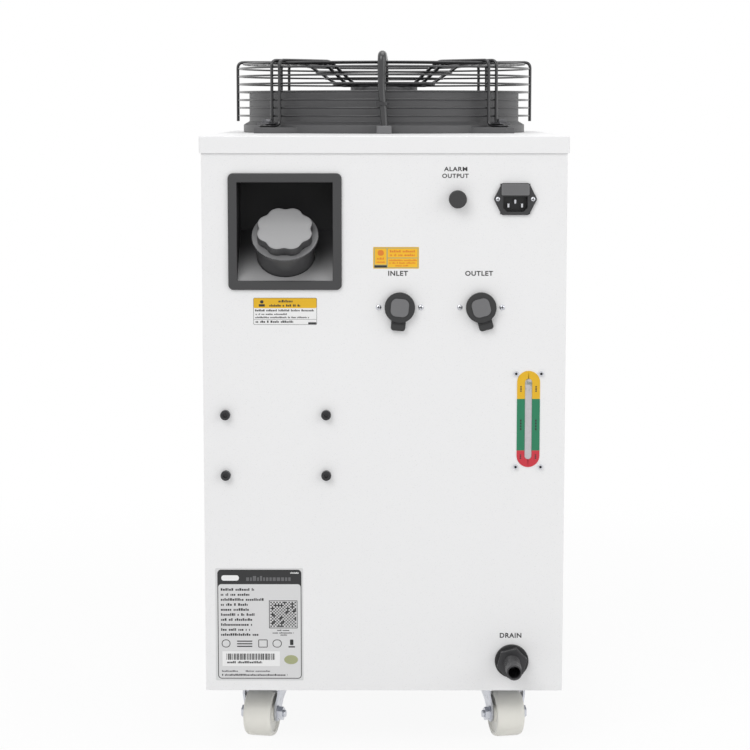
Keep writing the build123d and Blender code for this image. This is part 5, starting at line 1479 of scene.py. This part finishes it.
@dataclass
class Fan:
    """The roof fan with its wire guard and clamps."""

    place: Matrix
    ring_radius: float = 172.8
    ring_wire: float = 2.2
    rib_wire: float = 3.6
    rib_radius: float = 174.9
    top: float = 729.65
    side_gap: float = 7.7
    side_pitch: float = 9.23
    side_rings: int = 7
    top_pitch: float = 9.2
    top_rings: int = 8
    cone_rings: int = 4
    cone_radius: float = 95.0
    cone_foot: float = 54.0
    cone_low: float = 702.1
    end_radius: float = 31.0
    free_end: float = 660.0
    ear_top: float = 653.8
    ear_reach: float = 189.0
    foot_reach: float = 198.0
    pair_gap: float = 13.0
    bend: float = 7.0
    clamp: Span = (15.0, 19.0)
    clamp_thick: float = 1.8
    washer_radius: float = 6.4
    washer_thick: float = 0.8
    bolt_radius: float = 5.6
    bolt_height: float = 3.2

    def build(self) -> None:
        """Build the shroud, motor, impeller, guard, clamps and grommet."""
        softened("fan_shroud", FAN_PAINT, 0.7, 3)
        softened("fan_motor", MOTOR_PAINT, 0.6, 2)
        softened("fan_impeller", BLACK, 0.5, 2)
        self.guard()
        self.clamps()
        softened("cable_grommet", GREY_PLASTIC, 0.8, 3)

    def section(self, offset: float, *foot: tuple[float, float]) -> list[Vector]:
        """Bend one rib from its foot to the motor.

        Args:
            offset: How far beside the fan's axis it runs.
            foot: The (radius, height) points at its foot.

        Returns:
            The points of its rounded centre line.
        """
        corners = (
            *foot,
            (self.rib_radius, self.top),
            (self.cone_radius, self.top),
            (self.cone_foot, self.cone_low),
            (self.end_radius, self.cone_low),
        )
        return rounded([(radius, offset, height) for radius, height in corners], self.bend)

    def guard(self) -> None:
        """Weld the guard: side, top and cone rings, four ribs and four pairs."""
        guard = Shape(self.place)
        for i in range(self.side_rings):
            guard.ring(self.ring_radius, self.top - self.side_gap - i * self.side_pitch, self.ring_wire)
        drop = (self.ring_wire + self.rib_wire) / 2 - 0.4
        for i in range(self.top_rings):
            guard.ring(self.ring_radius - 5.0 - i * self.top_pitch, self.top - drop, self.ring_wire)
        run, fall = self.cone_radius - self.cone_foot, self.top - self.cone_low
        slant = math.hypot(run, fall)
        for i in range(self.cone_rings):
            share = (i + 0.5) / self.cone_rings
            radius = self.cone_radius - share * run + drop * fall / slant
            guard.ring(radius, self.top - share * fall - drop * run / slant, self.ring_wire, steps=64)
        single = Shape()
        single.sweep(self.section(0.0, (self.rib_radius, self.free_end)), self.rib_wire)
        pair = Shape()
        foot = self.ear_top + self.rib_wire / 2
        half = self.pair_gap / 2
        reach = self.foot_reach - half - self.rib_wire / 2
        arms = [self.section(side * half, (reach, foot), (self.rib_radius, foot)) for side in (-1, 1)]
        turns = (-1.05, -0.52, 0.0, 0.52, 1.05)
        arc = [(reach + half * math.cos(a), half * math.sin(a), foot) for a in turns]
        pair.sweep([*reversed(arms[0]), *map(Vector, arc), *arms[1]], self.rib_wire)
        for i in range(4):
            guard.stamp(single, spot(0, 0, 0, 90 * i))
            guard.stamp(pair, spot(0, 0, 0, 45 + 90 * i))
        bmesh.ops.recalc_face_normals(guard.mesh, faces=guard.mesh.faces)
        guard.piece("guard_basket", "fan_guard", [WIRE_PAINT], ["guard_wall", "fan_guard", "guard_cone"])

    def clamps(self) -> None:
        """Set a clamp plate, a washer and a bolt head on each foot."""
        one = Shape()
        seat = self.ear_top + self.rib_wire
        washer = seat + self.clamp_thick
        bolt = washer + self.washer_thick
        one.slab(self.clamp, seat, washer, spot(self.ear_reach - 1.0, 0))
        one.post(self.washer_radius, washer, bolt, spot(self.ear_reach, 0), 32)
        one.post(self.bolt_radius, bolt, bolt + self.bolt_height, spot(self.ear_reach, 0, 0, 12), 6)
        one.settle().bevel(0.4, 2, 40)
        clamps = Shape(self.place)
        for i in range(4):
            clamps.stamp(one, spot(0, 0, 0, 45 + 90 * i))
        clamps.piece("clamp_bolts", "guard_clamps", [DARK_STEEL], ["guard_clamps"])


@dataclass
class MotorLead:
    """The sleeved motor lead over the guard's front edge, with its tie."""

    fan_y: float
    front_y: float
    motor_top: float = 700.3
    crest: float = 734.9
    foot: float = 655.5
    sleeve: float = 10.0
    lower: float = 8.0
    tie_z: float = 680.4
    thick_points: int = 8
    strap: float = 1.2
    strap_height: float = 3.6
    tie_head: Span = (5.4, 4.6)
    tie_tail: Span = (1.3, 2.2)
    tie_row: float = 3.4

    def build(self) -> None:
        """Draw the lead as one smooth curve, and strap it to the rib."""
        start = self.fan_y - 23.0
        route = (
            (0.5, start, self.motor_top),
            (0.5, start, self.motor_top + 12.0),
            (0.2, start - 18.0, self.motor_top + 27.0),
            (-0.6, start - 55.0, self.crest - 1.0),
            (-1.2, start - 95.0, self.crest),
            (-1.8, self.front_y + 11.0, self.crest),
            (-2.2, self.front_y + 0.5, self.crest - 1.5),
            (-2.6, self.front_y, self.crest - 13.0),
            (-2.9, self.front_y - 0.2, self.crest - 32.0),
            (-1.8, self.front_y, self.tie_z + 4.0),
            (-0.4, self.front_y, self.tie_z - 8.0),
            (0.6, self.front_y - 0.2, self.foot),
        )
        curve = bpy.data.curves.new("lead", "CURVE")
        curve.dimensions = "3D"
        curve.resolution_u = 10
        curve.bevel_depth = self.sleeve / 2 * MM
        curve.bevel_resolution = 5
        curve.use_fill_caps = True
        line = curve.splines.new("NURBS")
        line.points.add(len(route) - 1)
        for i, (point, place) in enumerate(zip(line.points, route)):
            point.co = (*(Vector(place) * MM), 1.0)
            point.radius = 1.0 if i < self.thick_points else self.lower / self.sleeve
        line.order_u = 3
        line.use_endpoint_u = True
        lead = Shape()
        lead.take(as_mesh(curve), Matrix.Scale(1 / MM, 4))
        lead.settle().piece("motor_lead", "fan_cable", [SLEEVE], ["fan_cable"])
        self.tie()

    def tie(self) -> None:
        """Strap the lead to the rib behind it, with the tie's square head beside it."""
        low, high = corner("cable_tie", False), corner("cable_tie", True)
        middle, size = (low + high) / 2, high - low
        tie = Shape(Matrix.Translation((middle.x - 1.2, middle.y, low.z)))
        outer = tie.plate((size.x + 1.0, size.y - 0.4), bend=5.0)
        tie.inset(outer, self.strap)
        bmesh.ops.delete(tie.mesh, geom=[outer], context="FACES_ONLY")
        tie.thicken(self.strap_height)
        tie.settle().bevel(0.3, 2, 50)
        row = self.tie_row - size.y / 2
        tie.slab(self.tie_head, -0.6, 4.4, spot(0.6 - size.x / 2, row))
        tie.slab(self.tie_tail, 0.6, 3.0, spot(0.7 + size.x / 2, row))
        tie.piece("tie_strap", "cable_tie", [BLACK], ["cable_tie"])


@dataclass
class Castors:
    """Four swivel castors: plates, pressed forks and nylon wheels."""

    names: tuple[str, ...] = ("front_left", "front_right", "rear_left", "rear_right")
    turns: tuple[float, ...] = (-12.0, 12.0, 9.0, -7.0)
    radius: float = 25.0
    width: float = 30.0
    bore: float = 4.06
    shoulder: float = 6.0
    leg: float = 18.0
    washer_radius: float = 8.2
    washer_thick: float = 0.9
    nut_height: float = 6.0
    thread_radius: float = 3.8
    thread_end: float = 2.6

    def build(self) -> None:
        """Build the plates, and each fork and wheel."""
        softened("castor_plates", ZINC, 0.35)
        for name, turn in zip(self.names, self.turns):
            node = f"castor_wheel_{name}"
            middle = (corner(node, False) + corner(node, True)) / 2
            axle = Matrix.Translation((middle.x, middle.y, self.radius)) @ spot(0, 0, 0, turn)
            axle = axle @ Matrix.Rotation(math.pi / 2, 4, "Y")
            self.wheel(node, axle)
            self.fork(f"castor_fork_{name}", axle, -1 if "right" in name else 1)

    def wheel(self, node: str, axle: Matrix) -> None:
        """Turn a wheel with rounded shoulders and a sunk web round its hub.

        Args:
            node: The wheel's node.
            axle: The axle's place, along Z.
        """
        r, half = self.radius - 0.02, self.width / 2
        side = [(self.bore, half), (8.6, half), (9.2, half - 0.6), (9.8, half - 2.2)]
        side += [(19.0, half - 2.2), (19.8, half - 1.6), (20.4, half - 0.4), (r - 2.2, half)]
        for i in range(1, 7):
            a = i * math.pi / 12
            side.append((r - 2.2 + 2.2 * math.sin(a), half - self.shoulder * (1 - math.cos(a))))
        wheel = Shape(axle)
        wheel.turned([*side, *((x, -z) for x, z in reversed(side))], steps=96)
        wheel.settle().piece(f"{node}_tread", node, [NYLON], [node])

    def fork(self, node: str, axle: Matrix, nut: int) -> None:
        """Round the pressed fork, and add the washers and the nut's thread end.

        Args:
            node: The fork's node.
            axle: The axle's place, along Z.
            nut: The side of the nut, 1 or -1.
        """
        fork = Shape.of_node(node).bevel(0.5, 2, 25)
        trim = Shape()
        for side in (-1, 1):
            low, high = sorted((side * self.leg, side * (self.leg + self.washer_thick)))
            trim.post(self.washer_radius, low, high, steps=40)
        end = self.leg + self.nut_height
        low, high = sorted((nut * end, nut * (end + self.thread_end)))
        trim.post(self.thread_radius, low, high, steps=24)
        fork.stamp(trim.settle().bevel(0.25, 2, 50), axle)
        fork.piece(f"{node}_pressing", node, [ZINC], [node])


@dataclass
class ControlSide:
    """The controller with its keys and screen, and the power rocker."""

    rear: Matrix
    keys: int = 4
    screen: Span = (61.0, 29.0)
    screen_x: float = -32.0
    screen_back: float = 1.2
    screen_front: float = 0.7

    def build(self) -> None:
        """Round the mouldings and glaze the screen."""
        softened("controller", BEZEL, 0.9, 3)
        softened("rocker_frame", BLACK, 0.6, 3)
        for i in range(self.keys):
            softened(f"control_key_{i + 1}", GREY_PLASTIC, 0.35, 2)
        softened("power_rocker", BLACK, 0.5, 3)
        high, low = corner("controller", True), corner("controller", False)
        glass = Shape(self.rear)
        proud = high.y - corner("control_panel", True).y
        place = spot(self.screen_x, (high.z + low.z) / 2)
        glass.slab(self.screen, proud - self.screen_back, proud - self.screen_front, place)
        glass.settle().bevel(0.2, 2)
        glass.piece("screen_glass", "controller", [SCREEN])


class Inside:
    """What shows through the slots and the fan: tank, circuit and pump."""

    finishes = {
        "tank_bracket": GREY_SHEET,
        "water_tank": MILKY,
        "compressor": MOTOR_PAINT,
        "condenser": FINS,
        "plate_evaporator": STEEL,
        "circulation_pump": MOTOR_PAINT,
        "filter_drier": COPPER,
        "copper_pipes": COPPER,
        "water_hoses": RUBBER,
    }

    def build(self) -> None:
        """Dress each inner node."""
        for node, finish in self.finishes.items():
            dressed(node, finish)


@dataclass(frozen=True)
class SoftBox:
    """A square lamp, with its places in metres and its power in watts."""

    name: str
    place: Point
    aim: Point
    size: float
    power: float

    def hang(self) -> None:
        """Hang the lamp so that it faces its aim."""
        data = bpy.data.lights.new(self.name, "AREA")
        data.size = self.size
        data.energy = self.power
        lamp = bpy.data.objects.new(self.name, data)
        bpy.context.scene.collection.objects.link(lamp)
        lamp.location = self.place
        lamp.rotation_mode = "QUATERNION"
        lamp.rotation_quaternion = (Vector(self.aim) - lamp.location).to_track_quat("-Z", "Y")


@dataclass
class Studio:
    """Floor, soft light and the camera at the photograph's place."""

    middle_y: float
    lamps: tuple[SoftBox, ...] = (
        SoftBox("key", (-1.3, -2.4, 2.6), (0.0, 0.0, 0.45), 2.0, 36.0),
        SoftBox("top", (0.2, 0.1, 2.6), (0.0, 0.0, 0.6), 1.6, 17.0),
        SoftBox("fill", (2.2, -1.6, 1.4), (0.0, 0.0, 0.4), 1.8, 15.0),
    )
    ambient: float = 0.5
    paper: Colour = (0.9, 0.9, 0.9)
    shadow_reach: Span = (0.45, 0.9)
    eye: Point = (-2.6, -2491.0, 674.3)
    pitch: float = 7.10
    yaw: float = 0.18
    focal: float = 2134.6
    picture: float = 750.0
    floor_size: float = 30.0
    near_white: float = 0.92

    def build(self) -> None:
        """Set the stage."""
        self.camera()
        self.world()
        self.floor()
        for lamp in self.lamps:
            lamp.hang()
        bpy.context.scene.view_settings.view_transform = "Standard"

    def camera(self) -> None:
        """Put the camera where the photograph was taken from."""
        data = bpy.data.cameras.new("camera")
        data.sensor_width = 36.0
        data.lens = self.focal / self.picture * data.sensor_width
        data.clip_end = 100.0
        camera = bpy.data.objects.new("camera", data)
        bpy.context.scene.collection.objects.link(camera)
        x, y, z = self.eye
        camera.location = Vector((x, y + self.middle_y, z)) * MM
        camera.rotation_euler = (math.radians(90 - self.pitch), 0.0, math.radians(self.yaw))
        bpy.context.scene.camera = camera

    def world(self) -> None:
        """Light all round softly, with a white backdrop where it is seen."""
        world = bpy.data.worlds.new("studio")
        world.use_nodes = True
        tree = Tree(world.node_tree)
        soft = world.node_tree.nodes["Background"]
        tree.feed(soft.inputs["Color"], WHITE_LIGHT)
        tree.feed(soft.inputs["Strength"], self.ambient)
        white = tree.node("ShaderNodeBackground", None, {"Color": WHITE_LIGHT, "Strength": 1.0})
        sockets = {0: tree.seen(), 1: soft.outputs[0], 2: white.outputs[0]}
        mixed = tree.node("ShaderNodeMixShader", None, sockets)
        tree.feed(world.node_tree.nodes["World Output"].inputs["Surface"], mixed.outputs[0])
        bpy.context.scene.world = world

    def floor(self) -> None:
        """Lay a white floor that fades into the backdrop away from the object."""
        sheet = Shape()
        sheet.plate((self.floor_size / MM, self.floor_size / MM))
        data = bpy.data.meshes.new("floor")
        sheet.mesh.to_mesh(data)
        sheet.mesh.free()
        data.transform(Matrix.Scale(MM, 4))
        floor = bpy.data.objects.new("floor", data)
        bpy.context.scene.collection.objects.link(floor)
        recipe = Recipe("floor_paper")
        recipe.feed(recipe.shader.inputs["Base Color"], self.paper)
        recipe.feed(recipe.shader.inputs["Roughness"], 0.9)
        glow = recipe.node("ShaderNodeEmission", None, {"Color": WHITE_LIGHT, "Strength": 1.0})
        away = recipe.node("ShaderNodeVectorMath", {"operation": "LENGTH"}, {0: recipe.coords})
        far = Wire(recipe, away.outputs["Value"]).above(*self.shadow_reach)
        mask = (far * (1 - self.near_white) + self.near_white) * recipe.seen()
        sockets = {0: mask, 1: recipe.shader.outputs[0], 2: glow.outputs[0]}
        mixed = recipe.node("ShaderNodeMixShader", None, sockets)
        recipe.feed(recipe.tree.nodes["Material Output"].inputs["Surface"], mixed.outputs[0])
        data.materials.append(recipe.material)


def main() -> None:
    """Build the chiller's looks in order."""
    logging.basicConfig(level=logging.INFO, format="%(name)s %(message)s")
    face_y = corner("service_panel", False).y
    rear_y = corner("control_panel", True).y
    middle_y = (face_y + rear_y) / 2
    face = framed((0.0, face_y, 0.0), (1, 0, 0), (0, -1, 0))
    rear = framed((0.0, rear_y, 0.0), (-1, 0, 0), (0, 1, 0))
    shroud = (corner("fan_shroud", False) + corner("fan_shroud", True)) / 2
    lead = (corner("cable_grommet", False) + corner("cable_grommet", True)) / 2
    Cabinet().build()
    Filler(face_y).build()
    Ports(face).build()
    Drain(face).build()
    Gauge(face).build()
    PowerAndAlarm(face).build()
    Labels(face).build()
    screws = Shape.of_node("bracket_screws").bevel(0.45, 2, 50)
    screws.piece("bracket_screw_heads", "bracket_screws", [OXIDE_AND_DRIVE_SHADE], ["bracket_screws"])
    Fan(Matrix.Translation((0, shroud.y, 0))).build()
    MotorLead(shroud.y, lead.y).build()
    Castors().build()
    ControlSide(rear).build()
    Inside().build()
    Studio(middle_y).build()


if __name__ == "__main__":
    main()
